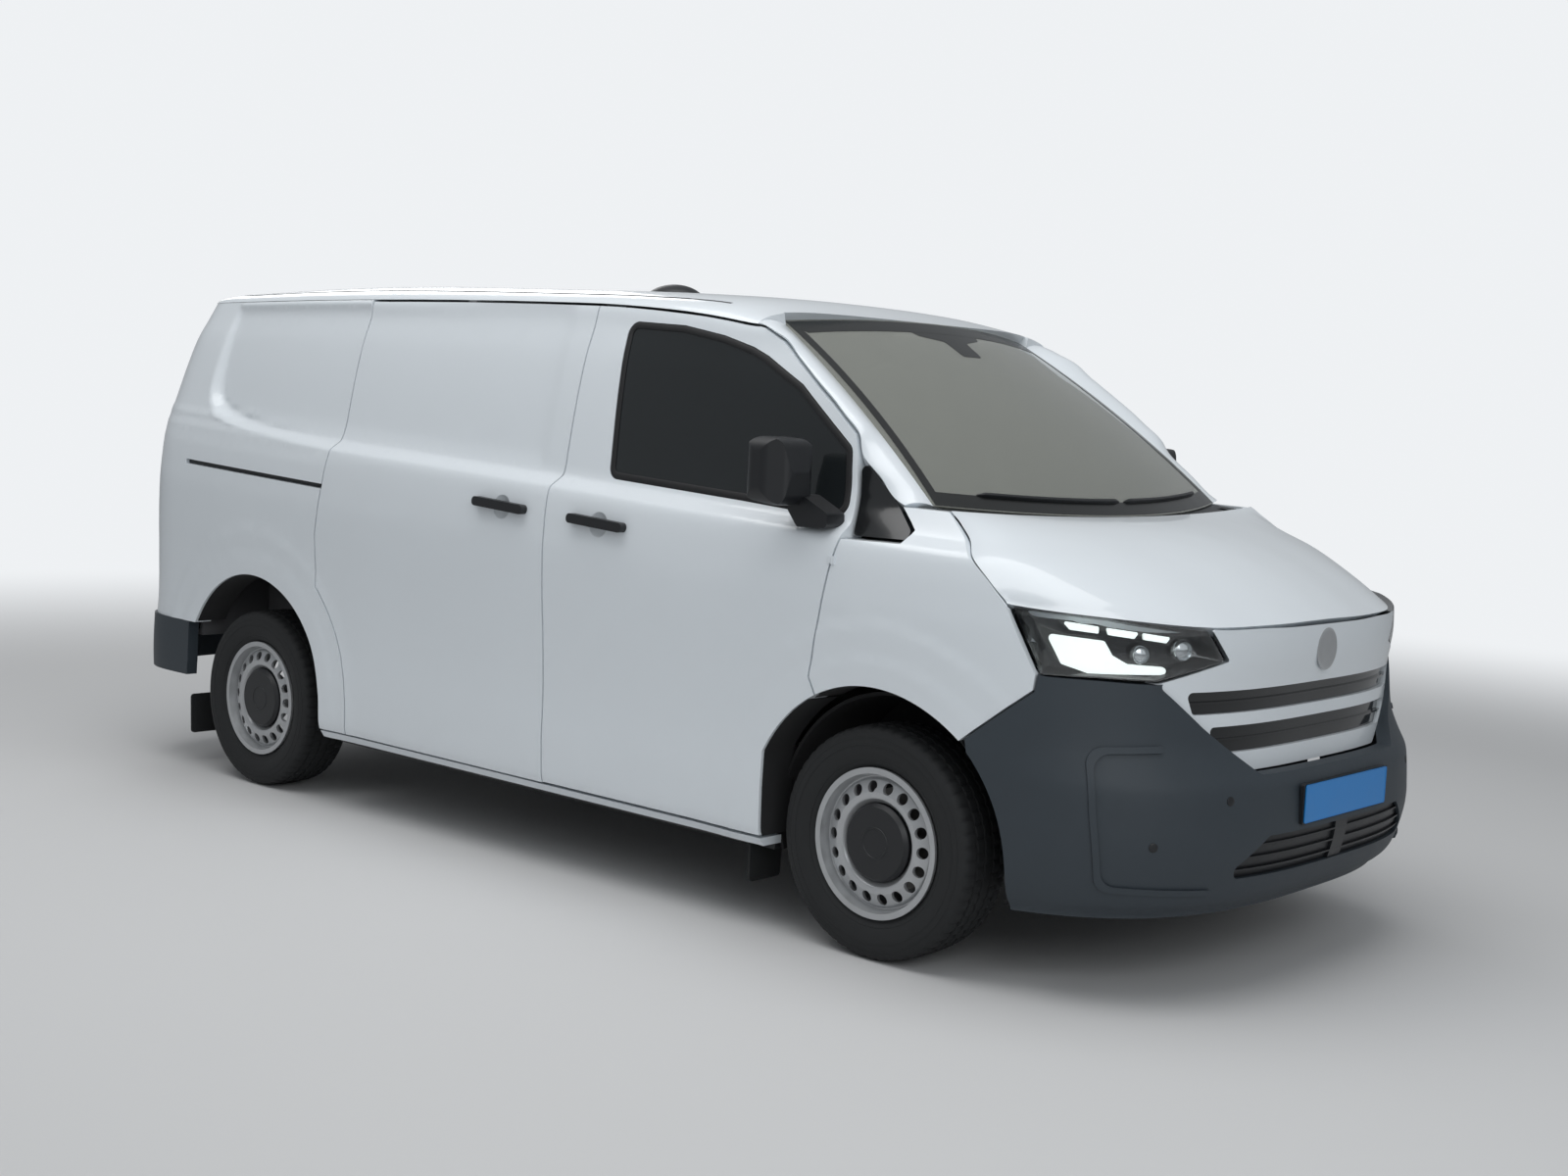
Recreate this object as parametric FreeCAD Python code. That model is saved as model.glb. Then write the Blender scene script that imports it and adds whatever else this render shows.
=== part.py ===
# Mid-size panel van with a short nose, a sliding side door and a rear tailgate.
# Frame: +X forward, +Y to the van's left, +Z up, origin on the ground under the middle. Millimetres.
import FreeCAD, Part
import math
import os
from FreeCAD import Vector

os.makedirs("parts", exist_ok=True)

# Overall sizes
body_length = 5050.0
body_width = 2032.0
body_height = 1984.0
wheelbase = 3100.0
front_overhang = 976.0
half_length = body_length / 2
half_width = body_width / 2
front_axle_x = half_length - front_overhang
rear_axle_x = front_axle_x - wheelbase

# Clearances
fit_gap = 0.3
seam_gap = 7.0
cut_over = 60.0

# Wheels and tyres
tyre_radius = 343.0
tyre_width = 215.0
rim_radius = 203.0
rim_flange_radius = 221.0
rim_width = 186.0
rim_wall = 7.0
wheel_track = 1740.0
centre_cap_radius = 115.0
vent_radius = 17.0
vent_circle_radius = 164.0
vent_count = 18

# Steering and brakes
kingpin_inset = 50.0
brake_disc_radius = 150.0
brake_disc_thickness = 20.0
upright_radius = 34.0

# Body walls
roof_wall = 34.0
roof_rim_gap = 2.5
hood_wall = 32.0
nose_wall = 46.0
tailgate_wall = 60.0
glass_thickness = 5.0
glass_sink = 3.0
windscreen_thickness = 6.0
pillar_wall = 52.0

# Body lines
sill_z = 262.0
ledge_half = 32.0
arch_radius = 460.0
front_arch_z = 343.0
rear_arch_z = 370.0
front_arch_back_x = 408.0
flare_lift = 9.0
flare_inner_radius = 520.0
flare_outer_radius = 560.0
door_reach_radius = 622.0
recess_depth = 6.0
recess_ramp = 46.0
recess_edge = 22.0
recess_top_z = 1868.0
recess_front_x = 40.0
nose_reach = 970.0
tail_reach = 424.0

# Cab and load space
load_floor_z = 560.0
cab_floor_z = 470.0
bulkhead_x = 96.0
bulkhead_thickness = 30.0
wheel_box_height = 290.0
wheel_box_width = 330.0
wheel_box_length = 960.0


def along(table_share, t):
    """Smooth value of a table of (place, value) pairs at t, flat past both ends."""
    last = len(table_share) - 1
    if t <= table_share[0][0]:
        return table_share[0][1]
    if t >= table_share[last][0]:
        return table_share[last][1]
    i = max(k for k in range(last) if table_share[k][0] <= t)
    slopes = []
    for k in (i, i + 1):
        before = table_share[max(k - 1, 0)]
        after = table_share[min(k + 1, last)]
        slopes.append((after[1] - before[1]) / (after[0] - before[0]))
    t0, v0 = table_share[i]
    t1, v1 = table_share[i + 1]
    h = t1 - t0
    s = (t - t0) / h
    start = v0 * (1 + 2 * s) * (1 - s) ** 2 + slopes[0] * h * s * (1 - s) ** 2
    end = v1 * s * s * (3 - 2 * s) + slopes[1] * h * s * s * (s - 1)
    return start + end


def smooth(t):
    """Ramp from 0 to 1 with flat ends."""
    t = min(max(t, 0.0), 1.0)
    return t * t * (3 - 2 * t)


# Side section: shares of half the width at shares of each height zone
lower_share = [(0.0, 0.955), (0.04, 0.979), (0.14, 0.985), (0.20, 0.986), (0.335, 0.983), (0.535, 0.989),
               (0.67, 0.996), (0.80, 0.998), (0.88, 0.9935), (0.925, 0.990), (0.965, 0.985), (1.0, 0.977)]
upper_share = [(0.0, 0.9173), (0.06, 0.911), (0.41, 0.877), (0.69, 0.8425), (0.835, 0.816), (1.0, 0.79)]
swell_share = [(0.0, 0.043), (0.06, 0.037), (0.41, 0.022), (0.69, 0.013), (0.835, 0.008), (0.95, 0.002),
               (1.0, 0.0)]
inner_share = [(0.0, 0.891), (0.207, 0.915), (0.452, 0.92), (0.575, 0.9006), (0.6585, 0.856), (0.798, 0.813),
               (0.8946, 0.7775), (0.9436, 0.752), (1.0, 0.724)]

# Lines along the body: shares of the body height at shares of half the length
ledge_share = [(-1.0, 0.7206), (-0.63, 0.6961), (0.05, 0.6562), (0.46, 0.628), (1.0, 0.601)]
rail_share = [(-1.0, 0.945), (-0.93, 0.9495), (-0.41, 0.9592), (0.058, 0.9541), (0.232, 0.9405),
              (0.334, 0.924)]
crown_share = [(-1.0, 0.974), (-0.87, 0.984), (-0.5, 1.0), (-0.14, 0.995), (0.24, 0.9805), (0.36, 0.951),
               (0.40, 0.936)]

# Plan curves of the two ends
nose_start_share = 0.574
nose_power_x_share = 3.25
nose_power_y_share = 3.0
tail_start_share = 0.832
tail_power_x_share = 2.73
tail_power_y_share = 5.0
nose_start_x = nose_start_share * half_length
tail_start_x = -tail_start_share * half_length
tail_profile_share = [(0.0, 1.0), (0.2, 1.0), (0.30, 0.985), (0.345, 0.942), (0.45, 0.918), (0.595, 0.87),
                      (0.705, 0.80), (0.857, 0.67), (0.907, 0.575), (0.95, 0.479), (0.965, 0.435),
                      (0.974, 0.38)]
nose_profile_share = [(0.28, 1.018), (0.35, 1.004), (0.434, 1.0), (0.483, 1.016), (0.53, 1.012), (0.56, 1.0)]
bumper_profile_share = [(0.12, 0.907), (0.15, 0.962), (0.185, 0.986), (0.215, 0.998), (0.235, 1.0), (0.255, 0.998),
                        (0.305, 0.986), (0.33, 0.959), (0.36, 0.93), (0.40, 0.916), (0.46, 0.906)]
bumper_width_share = [(0.12, 0.965), (0.15, 0.985), (0.20, 0.997), (0.35, 0.998), (0.46, 0.994)]


cab_taper_share = 0.143
cab_taper_start_share = 0.058
tail_taper_share = 0.075
tail_taper_start_share = 0.475

# Rear edge of the upper recess and rows of points over the ledge
recess_back_share = [(0.672, -0.50), (0.684, -0.57), (0.695, -0.635), (0.705, -0.69), (0.7157, -0.73),
                     (0.733, -0.762), (0.76, -0.782), (0.81, -0.789), (0.94, -0.79)]
ledge_rows_share = [0.2, 0.4, 0.6, 0.8]


def ledge_z(x):
    return along(ledge_share, x / half_length) * body_height


def rail_z(x):
    return along(rail_share, x / half_length) * body_height


def tail_length(z):
    return along(tail_profile_share, z / body_height) * tail_reach


def round_end(s, power_x_share, power_y_share):
    """Half width share of a rounded end at s from its start, 0, to its tip, 1."""
    return (1 - min(max(s, 0.0), 1.0) ** power_x_share) ** (1 / power_y_share)


def recess_amount(x, z):
    """1 inside the long upper recess of the load space wall, 0 outside it."""
    back = along(recess_back_share, z / body_height) * half_length
    above = along(recess_back_share, (z + recess_edge) / body_height) * half_length
    off_line = (x - back) / math.hypot(1.0, (above - back) / recess_edge)
    return smooth(off_line / recess_ramp) * smooth((recess_top_z - z) / recess_edge)


def flare(x, z):
    """How far the panel stands out round a wheel arch."""
    amount = 0.0
    for axle_x, centre_z in ((front_axle_x, front_arch_z), (rear_axle_x, rear_arch_z)):
        r = math.hypot(x - axle_x, z - centre_z)
        inner = 1 - smooth((r - flare_inner_radius) / (flare_outer_radius - flare_inner_radius))
        outer = 1 - smooth((r - door_reach_radius) / (flare_outer_radius - flare_inner_radius))
        amount = max(amount, (inner + outer) / 2)
    return amount * flare_lift


def side_y(x, z):
    """Half width of the outer skin at station x and height z."""
    low = ledge_z(x) - ledge_half
    high = ledge_z(x) + ledge_half
    top = rail_z(x)
    if z <= low:
        share = along(lower_share, (z - sill_z) / (low - sill_z))
    elif z >= high:
        share = along(upper_share, (z - high) / (top - high))
    else:
        share = lower_share[-1][1] + (upper_share[0][1] - lower_share[-1][1]) * smooth((z - low) / (high - low))
    if z > low and x < recess_front_x:
        full = lower_share[-1][1] + (upper_share[0][1] + swell_share[0][1] - lower_share[-1][1]) * smooth(
            (z - low) / (high - low))
        if z >= high:
            full = share + along(swell_share, (z - high) / (top - high))
        share += (full - share) * (1 - recess_amount(x, z))
    upper = smooth((z - low) / (high - low + 3 * ledge_half))
    taper = 1 - cab_taper_share * upper * max(0.0, x / half_length - cab_taper_start_share) ** 2
    rear = 1 - tail_taper_share * max(0.0, -x / half_length - tail_taper_start_share) ** 2
    inner_recess = recess_depth * recess_amount(x, z) * smooth((z - high) / recess_ramp)
    inner_recess *= smooth((recess_front_x - x) / recess_ramp)
    y = share * half_width * taper * rear + flare(x, z) - inner_recess
    y *= round_end((x - nose_start_x) / nose_reach, nose_power_x_share, nose_power_y_share)
    s = (tail_start_x - x) / tail_length(z)
    return y * round_end(s, tail_power_x_share, tail_power_y_share)


def inner_y(x, z):
    """Half width of the inner face of the side walls."""
    share = along(inner_share, (z - sill_z) / (rail_z(x) - sill_z))
    taper = 1 - cab_taper_share * max(0.0, x / half_length - cab_taper_start_share) ** 2 / 2
    y = share * half_width * taper
    y *= round_end((x - nose_start_x) / (nose_reach - nose_wall), nose_power_x_share, nose_power_y_share)
    s = (tail_start_x - x) / (tail_length(z) - tailgate_wall)
    return y * round_end(s, tail_power_x_share, tail_power_y_share)


def skin(grid):
    surface = Part.BSplineSurface()
    surface.interpolate(grid)
    return surface


def slab(outer_grid, inner_grid):
    """Closed solid between two grids of points, with ruled edges."""
    outer = skin(outer_grid)
    inner = skin(inner_grid)
    faces = [outer.toShape(), inner.toShape()]
    u0, u1, v0, v1 = outer.bounds()
    a0, a1, b0, b1 = inner.bounds()
    pairs = [(outer.uIso(u0), inner.uIso(a0)), (outer.uIso(u1), inner.uIso(a1)),
             (outer.vIso(v0), inner.vIso(b0)), (outer.vIso(v1), inner.vIso(b1))]
    for curve, other in pairs:
        faces.append(Part.makeRuledSurface(curve.toShape(), other.toShape()))
    shell = Part.makeShell(faces)
    shell.sewShape()
    solid = Part.makeSolid(shell)
    if solid.Volume < 0:
        solid.reverse()
    return solid


def spread(start, end, count):
    """Evenly spaced values from start to end."""
    return [start + (end - start) * k / count for k in range(count + 1)]


def station(t, z, wall, grow):
    """Side skin point at the nominal station t: past the tail's start it follows the rounded end."""
    depth = tail_length(z) - (tailgate_wall if wall else 0)
    x = t
    if t < tail_start_x:
        x = tail_start_x - (tail_start_x - t) / tail_reach * depth
    y = inner_y(x, z) - grow if wall else side_y(x, z) + grow
    return Vector(x, y, z)


def side_slab(stations, low_rows_share, high_rows_share, drop, grow=0.0):
    """Left side wall over the given stations, with rows that follow the waist ledge."""
    grids = []
    for wall in (False, True):
        grid = []
        for t in stations:
            low = ledge_z(t) - ledge_half
            high = ledge_z(t) + ledge_half
            top = rail_z(t) - drop
            rows = [sill_z + (low - sill_z) * s for s in low_rows_share]
            rows += [low + (high - low) * s for s in ledge_rows_share]
            rows += [high + (top - high) * s for s in high_rows_share]
            grid.append([station(t, z, wall, grow) for z in rows])
        grids.append(grid)
    return slab(grids[0], grids[1])


def flat_outline(points, radius):
    """2D points and arcs of a closed outline with its corners rounded as far as they allow."""
    count = len(points)
    parts = []
    for i in range(count):
        px, py = points[i]
        ax, ay = points[i - 1]
        bx, by = points[(i + 1) % count]
        r = radius[i] if isinstance(radius, list) else radius
        la = math.hypot(ax - px, ay - py)
        lb = math.hypot(bx - px, by - py)
        ux, uy = (ax - px) / la, (ay - py) / la
        vx, vy = (bx - px) / lb, (by - py) / lb
        dot = max(-1.0, min(1.0, ux * vx + uy * vy))
        half = math.acos(dot) / 2
        if r <= 0 or half > math.pi / 2 * straight_share:
            parts.append([(px, py)])
            continue
        cut = min(r / math.tan(half), la * corner_share, lb * corner_share)
        bisect = math.hypot(ux + vx, uy + vy)
        centre = cut / math.cos(half)
        fillet = cut * math.tan(half)
        mid = (px + (ux + vx) / bisect * (centre - fillet), py + (uy + vy) / bisect * (centre - fillet))
        parts.append([(px + ux * cut, py + uy * cut), mid, (px + vx * cut, py + vy * cut)])
    return parts


straight_share = 0.995
corner_share = 0.48


def wire_of(points, radius, place):
    """Closed wire of an outline, set in space by place(a, b)."""
    parts = flat_outline(points, radius)
    edges = []
    for i, part in enumerate(parts):
        spots = [place(*p) for p in part]
        if len(spots) == 3:
            edges.append(Part.Arc(spots[0], spots[1], spots[2]).toShape())
        nxt = place(*parts[(i + 1) % len(parts)][0])
        if spots[-1].distanceToPoint(nxt) > fit_gap / 10:
            edges.append(Part.makeLine(spots[-1], nxt))
    return Part.Wire(edges)


def side_prism(points, radius, y0, y1):
    """Side view outline swept across the van."""
    wire = wire_of(points, radius, lambda a, b: Vector(a, y0, b))
    return Part.Face(wire).extrude(Vector(0, y1 - y0, 0))


def front_prism(points, radius, x0, x1):
    wire = wire_of(points, radius, lambda a, b: Vector(x0, a, b))
    return Part.Face(wire).extrude(Vector(x1 - x0, 0, 0))


def plan_prism(points, radius, z0, z1):
    wire = wire_of(points, radius, lambda a, b: Vector(a, b, z0))
    return Part.Face(wire).extrude(Vector(0, 0, z1 - z0))


def block(x0, x1, y0, y1, z0, z1):
    return Part.makeBox(x1 - x0, y1 - y0, z1 - z0, Vector(x0, y0, z0))


def mirrored_blocks(x0, x1, y0, y1, z0, z1):
    """The same block on both sides of the van, with y0 and y1 given for the left."""
    left = block(x0, x1, y0, y1, z0, z1)
    return [left, flip(left)]


def rod(radius, start, end):
    axis = end - start
    return Part.makeCylinder(radius, axis.Length, start, axis)


def flip(shape):
    """The same piece for the other side of the van."""
    return shape.mirror(Vector(0, 0, 0), Vector(0, 1, 0))


def fuse(shapes):
    result = shapes[0]
    if len(shapes) > 1:
        result = result.multiFuse(shapes[1:])
    return result.removeSplitter()


def outset(points, distance):
    """Outline moved outwards by distance, with mitred corners; points run anticlockwise."""
    count = len(points)
    area = sum(points[i - 1][0] * points[i][1] - points[i][0] * points[i - 1][1] for i in range(count))
    sign = 1 if area > 0 else -1
    moved = []
    for i in range(count):
        ax, ay = points[i - 1]
        px, py = points[i]
        bx, by = points[(i + 1) % count]
        l1 = math.hypot(px - ax, py - ay)
        l2 = math.hypot(bx - px, by - py)
        n1 = ((py - ay) / l1 * sign, -(px - ax) / l1 * sign)
        n2 = ((by - py) / l2 * sign, -(bx - px) / l2 * sign)
        k = 1 + n1[0] * n2[0] + n1[1] * n2[1]
        moved.append((px + (n1[0] + n2[0]) / k * distance, py + (n1[1] + n2[1]) / k * distance))
    return moved


def save(name, shape):
    solids = shape.Solids
    if len(solids) == 1:
        shape = solids[0]
    shape.exportStep("parts/" + name + ".step")
    print(name, len(solids), shape.isValid())


def side_spots(table_share):
    return [(a * half_length, b * body_height) for a, b in table_share]


# Outlines in side view, shares of half the length and of the body height
door_front_share = [(0.2135, 0.9425), (0.2974, 0.9325), (0.3469, 0.9209), (0.3826, 0.8997), (0.425, 0.8589),
                    (0.4812, 0.8059), (0.5236, 0.7626), (0.5331, 0.7258), (0.5489, 0.6124), (0.539, 0.5595),
                    (0.5307, 0.4934), (0.5204, 0.4047)]
window_share = [(0.1188, 0.9264), (0.2190, 0.9204), (0.2879, 0.9057), (0.3394, 0.8881), (0.3663, 0.8750),
                (0.4313, 0.8332), (0.5220, 0.7430), (0.5354, 0.6361), (0.3743, 0.6502), (0.1386, 0.6670)]
sail_share = [(0.5370, 0.7298), (0.598, 0.6663), (0.6297, 0.63), (0.6297, 0.6169), (0.5530, 0.6159)]
fender_top_share = [(0.5530, 0.6129), (0.6313, 0.6139), (0.6335, 0.631), (0.6038, 0.664), (0.6693, 0.6623),
                    (0.7065, 0.624), (0.7489, 0.5842), (0.7782, 0.5433), (0.8131, 0.4531), (0.8111, 0.4299),
                    (0.7323, 0.3468)]
slide_back_share = [(-0.4309, 0.9592), (-0.4301, 0.6714), (-0.4499, 0.5146), (-0.4463, 0.4133)]

# The left door, its seams and the arch
door_bottom_z = 294.0
door_top_z = body_height
seam_b_x = 150.0
seam_slant_share = 0.14
seam_lean = 48.0


def arch_cylinder(axle_x, centre_z, radius):
    return Part.makeCylinder(radius, half_width * 2, Vector(axle_x, -half_width, centre_z), Vector(0, 1, 0))


def arch_tool(axle_x, centre_z, radius, back):
    """Round wheel opening, open downwards, with a straight edge behind the axle."""
    tool = arch_cylinder(axle_x, centre_z, radius)
    below = block(axle_x - radius, axle_x + radius, -half_width, half_width, 0, centre_z)
    tool = fuse([tool, below])
    keep = block(axle_x - back, axle_x + 2 * radius, -2 * half_width, 2 * half_width, -radius, 3 * radius)
    return tool.common(keep)


front_arch = arch_tool(front_axle_x, front_arch_z, arch_radius, front_arch_back_x)
rear_arch = arch_tool(rear_axle_x, rear_arch_z, arch_radius, arch_radius)


def seam_b_cutter(ahead, gap):
    """Everything ahead of, or behind, the slanted seam at the pillar behind the front door."""
    far = half_length if ahead else -half_length
    shift = gap if ahead else -gap
    outer_x = seam_b_x + shift
    inner_x = outer_x + seam_slant_share * half_width
    ring = [(outer_x, half_width + cut_over), (inner_x, 0), (far * 2, 0), (far * 2, half_width + cut_over)]
    wire = wire_of(ring, 0, lambda a, b: Vector(a, b, 0))
    return Part.Face(wire).extrude(Vector(-seam_lean, 0, body_height + cut_over))


# Front door
door_stations = spread(0.04 * half_length, 0.36 * half_length, 11) + spread(
    0.375 * half_length, 0.58 * half_length, 14)
low_rows_share = spread(0.0, 1.0, 26)
high_rows_share = spread(0.0, 1.0, 12)
door_slab = side_slab(door_stations, low_rows_share, high_rows_share, seam_gap)
door_spots = [(0, door_top_z), (seam_b_x, door_top_z)] + side_spots(door_front_share)
door_ring = door_spots + [(front_axle_x, front_arch_z), (front_axle_x, door_bottom_z), (0, door_bottom_z)]
window_ring = side_spots(window_share)
window_corner = 42.0
# The door turns on a pin that stands on the fender in the front seam
door_hinge_x = 1374.0
door_hinge_y = 1008.0
door_pin_radius = 3.2
door_pin_low_z = 1138.0
door_pin_high_z = 1162.0
hinge_running_gap = 0.4
door_tongue_reach = 16.0
door_tongue_half = 2.6
door_tongue_depth = 10.0
door_shape = door_slab.common(side_prism(outset(door_ring, -seam_gap / 2), 0, 0, half_width + cut_over))
door_shape = door_shape.common(seam_b_cutter(True, seam_gap / 2))
door_shape = door_shape.cut(front_arch)
window_hole = side_prism(window_ring, window_corner, 0, half_width + cut_over)
door_shape = door_shape.cut(window_hole)

# Handles: a grip on each door over a shallow round hollow; places and rise in side view
handle_length = 258.0
handle_height = 31.0
handle_proud = 26.0
handle_corner = 15.0
handle_cup_radius = 42.0
handle_cup_depth = 13.0
front_handle_x = 390.0
front_handle_z = 1182.0
rear_handle_x = -87.0
rear_handle_z = 1205.0
handle_rise_share = -0.06


def handle_cup(x, z):
    """Ball that hollows the skin behind a grip."""
    ball = (handle_cup_radius ** 2 + handle_cup_depth ** 2) / (2 * handle_cup_depth)
    return Part.makeSphere(ball, Vector(x, side_y(x, z) + ball - handle_cup_depth, z))


door_shape = door_shape.cut(handle_cup(front_handle_x, front_handle_z))

door_room = side_slab(door_stations, low_rows_share, high_rows_share, 0.0, seam_gap)
door_room = door_room.common(side_prism(outset(door_ring, seam_gap / 2), 0, 0, half_width + cut_over))
door_room = door_room.common(seam_b_cutter(True, -seam_gap / 2))
door_rooms = door_room.fuse(flip(door_room))
door_tongue = block(door_hinge_x - door_tongue_reach, door_hinge_x - door_tongue_half,
                    door_hinge_y - door_tongue_depth, door_hinge_y,
                    door_pin_low_z + door_tongue_half, door_pin_high_z - door_tongue_half)
door_bore = rod(door_pin_radius + hinge_running_gap, Vector(door_hinge_x, door_hinge_y, door_pin_low_z),
                Vector(door_hinge_x, door_hinge_y, door_pin_high_z))
door_shape = fuse([door_shape, door_tongue.cut(door_bore)])
save("door_left", door_shape)
save("door_right", flip(door_shape))


def depth_slab(stations, top, depth_a, depth_b):
    """Thin layer of the left side between two depths under the outer skin."""
    grids = []
    for depth in (depth_a, depth_b):
        grid = []
        for x in stations:
            rows = [ledge_z(x) - ledge_half + (top - ledge_z(x) + ledge_half) * s for s in spread(0.0, 1.0, 14)]
            grid.append([Vector(x, glass_y(x, z) - depth, z) for z in rows])
        grids.append(grid)
    return slab(grids[0], grids[1])


def glass_y(x, z):
    """Half width of the side glass, which runs on down behind the ledge."""
    low = ledge_z(x) + ledge_half
    if z >= low:
        return side_y(x, z)
    step = side_y(x, low + ledge_half) - side_y(x, low)
    return side_y(x, low) - step * (low - z) / ledge_half


# Side glass of the front doors
glass_layer_top_share = 0.94
glass_layer = depth_slab(spread(0.09 * half_length, 0.56 * half_length, 12), glass_layer_top_share * body_height,
                         glass_sink, glass_sink + glass_thickness)
glass_ring = outset(window_ring, -fit_gap)
door_glass = glass_layer.common(side_prism(glass_ring, window_corner, 0, half_width + cut_over))
save("door_glass_left", door_glass)
save("door_glass_right", flip(door_glass))

# Fixed black triangle ahead of the door's seam
sail_thickness = 26.0
sail_layer_top_share = 0.75
sail_layer = depth_slab(spread(0.5 * half_length, 0.66 * half_length, 8), sail_layer_top_share * body_height,
                        fit_gap, sail_thickness)
sail_ring = side_spots(sail_share)
sail_corner = 16.0
sail_shape = sail_layer.common(side_prism(outset(sail_ring, -fit_gap), sail_corner, 0, half_width + cut_over))
sail_room = sail_layer.common(side_prism(outset(sail_ring, fit_gap), sail_corner, 0, half_width + cut_over))
save("sail_panel_left", sail_shape)
save("sail_panel_right", flip(sail_shape))

# Sliding door and rear quarter
slide_spots = side_spots(slide_back_share)
reach_circle_z = door_bottom_z - rear_arch_z
slide_reach_x = rear_axle_x + math.sqrt(door_reach_radius ** 2 - reach_circle_z ** 2)


def slide_tool(gap):
    """Region of the sliding door in side view, grown by gap at its rear and lower edge."""
    back = [(x - gap, z) for x, z in slide_spots]
    back[0] = (back[0][0], door_top_z)
    ring = back + [(rear_axle_x, rear_arch_z), (rear_axle_x, door_bottom_z - gap), (half_length, door_bottom_z - gap),
                   (half_length, door_top_z)]
    tool = side_prism(ring, 0, 0, half_width + cut_over)
    tool = tool.cut(arch_cylinder(rear_axle_x, rear_arch_z, door_reach_radius - gap))
    return tool.common(seam_b_cutter(False, seam_gap / 2 - gap))


slide_stations = spread(-0.475 * half_length, -0.30 * half_length, 16) + spread(
    -0.27 * half_length, -0.02 * half_length, 6) + spread(-0.01 * half_length, 0.09 * half_length, 7)
slide_slab = side_slab(slide_stations, low_rows_share, high_rows_share, seam_gap)
slide_shape = slide_slab.common(slide_tool(0.0)).cut(handle_cup(rear_handle_x, rear_handle_z))
save("sliding_door", flip(slide_shape))

tail_end_share = 0.8646
tail_end_width_share = 0.80
quarter_stations = spread(tail_start_x - tail_end_share * tail_reach, -0.75 * half_length, 26) + spread(
    -0.74 * half_length, -0.36 * half_length, 36)
quarter_low_share = spread(0.0, 1.0, 28)
quarter_high_share = spread(0.0, 1.0, 18)
quarter_slab = side_slab(quarter_stations, quarter_low_share, quarter_high_share, fit_gap)
tail_lamp_width = 66.0
tail_lamp_low_z = 880.0
tail_lamp_high_z = 1396.0
tail_edge_y = tail_end_width_share * half_width
lamp_side_y = tail_edge_y + tail_lamp_width


def tail_lamp_zone(gap):
    """Corner block, seen from behind, that the tail lamp fills."""
    return block(-half_length - cut_over, tail_start_x - tail_lamp_width, 0, lamp_side_y + gap,
                 tail_lamp_low_z - gap, tail_lamp_high_z + gap)


bumper_top_z = 600.0
rear_bumper_zone = block(-half_length - cut_over, rear_axle_x, 0, half_width + cut_over, 0, bumper_top_z)
under_zone = block(-half_length, half_length, 0, half_width + cut_over, 0, door_bottom_z)
quarter_shape = quarter_slab.cut(slide_tool(seam_gap)).cut(rear_arch).cut(rear_bumper_zone).cut(under_zone)
rail_slot_share = [(-0.808, 0.6275), (-0.429, 0.6053)]
rail_slot_half = 9.0
rail_slot_depth = 30.0
slot_back, slot_front = side_spots(rail_slot_share)
rail_slot = side_prism([(slot_back[0], slot_back[1] - rail_slot_half), (slot_front[0], slot_front[1] - rail_slot_half),
                        (slot_front[0], slot_front[1] + rail_slot_half),
                        (slot_back[0], slot_back[1] + rail_slot_half)], 0, half_width - rail_slot_depth,
                       half_width + cut_over)
save("quarter_right", flip(quarter_shape.cut(tail_lamp_zone(fit_gap)).cut(rail_slot)))
tail_lamp_shape = quarter_shape.common(tail_lamp_zone(0.0))
save("tail_lamp_left", tail_lamp_shape)
save("tail_lamp_right", flip(tail_lamp_shape))

# Left side wall, one fixed panel from the front door to the tail
wall_stations = quarter_stations + spread(-0.33 * half_length, 0.09 * half_length, 12)
left_wall_shape = side_slab(wall_stations, quarter_low_share, quarter_high_share, fit_gap)
left_wall_shape = left_wall_shape.common(seam_b_cutter(False, seam_gap / 2)).cut(rear_arch)
left_wall_shape = left_wall_shape.cut(tail_lamp_zone(fit_gap)).cut(rear_bumper_zone).cut(under_zone)
roof_corner_x_share = 0.889
roof_corner_y_share = 0.635
roof_corner_z_share = 0.940
left_wall_shape = left_wall_shape.cut(block(-half_length, -roof_corner_x_share * half_length, 0,
                                            roof_corner_y_share * half_width, roof_corner_z_share * body_height,
                                            body_height))
save("side_panel_left", left_wall_shape)

# Nose and bumper: rings of points from side to side
ring_share = [0.0, 0.12, 0.24, 0.36, 0.48, 0.58, 0.67, 0.745, 0.81, 0.86, 0.9, 0.93, 0.952, 0.968, 0.98]


def ring_spot(share, z, depth, profile_share, width_share):
    """Point of the nose at a share of its half width, sunk by depth towards its inside."""
    full = half_length - nose_start_x if width_share else nose_reach
    reach = full * along(profile_share, z / body_height)
    wide = half_width * (along(width_share, z / body_height) if width_share else nose_width_share)
    side = 1 if share > 0 else -1
    y = abs(share) * wide
    x = nose_start_x + reach * (1 - abs(share) ** nose_power_y_share) ** (1 / nose_power_x_share)
    nx = nose_power_x_share * max((x - nose_start_x) / reach, 0.001) ** (nose_power_x_share - 1) / reach
    ny = nose_power_y_share * max(abs(share), 0.0) ** (nose_power_y_share - 1) / wide
    scale = math.hypot(nx, ny)
    return Vector(x - depth * nx / scale, side * (y - depth * ny / scale), z)


nose_width_share = 0.9945


def ring_slab(z0, z1, rows, outer, inner, profile_share, width_share):
    shares = [-s for s in ring_share[:0:-1]] + ring_share
    grids = []
    for depth in (outer, inner):
        grids.append([[ring_spot(s, z, depth, profile_share, width_share) for z in spread(z0, z1, rows)]
                      for s in shares])
    return slab(grids[0], grids[1])


def nose_x(y, z):
    return ring_spot(y / half_width / nose_width_share, z, 0, nose_profile_share, None).x


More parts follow.
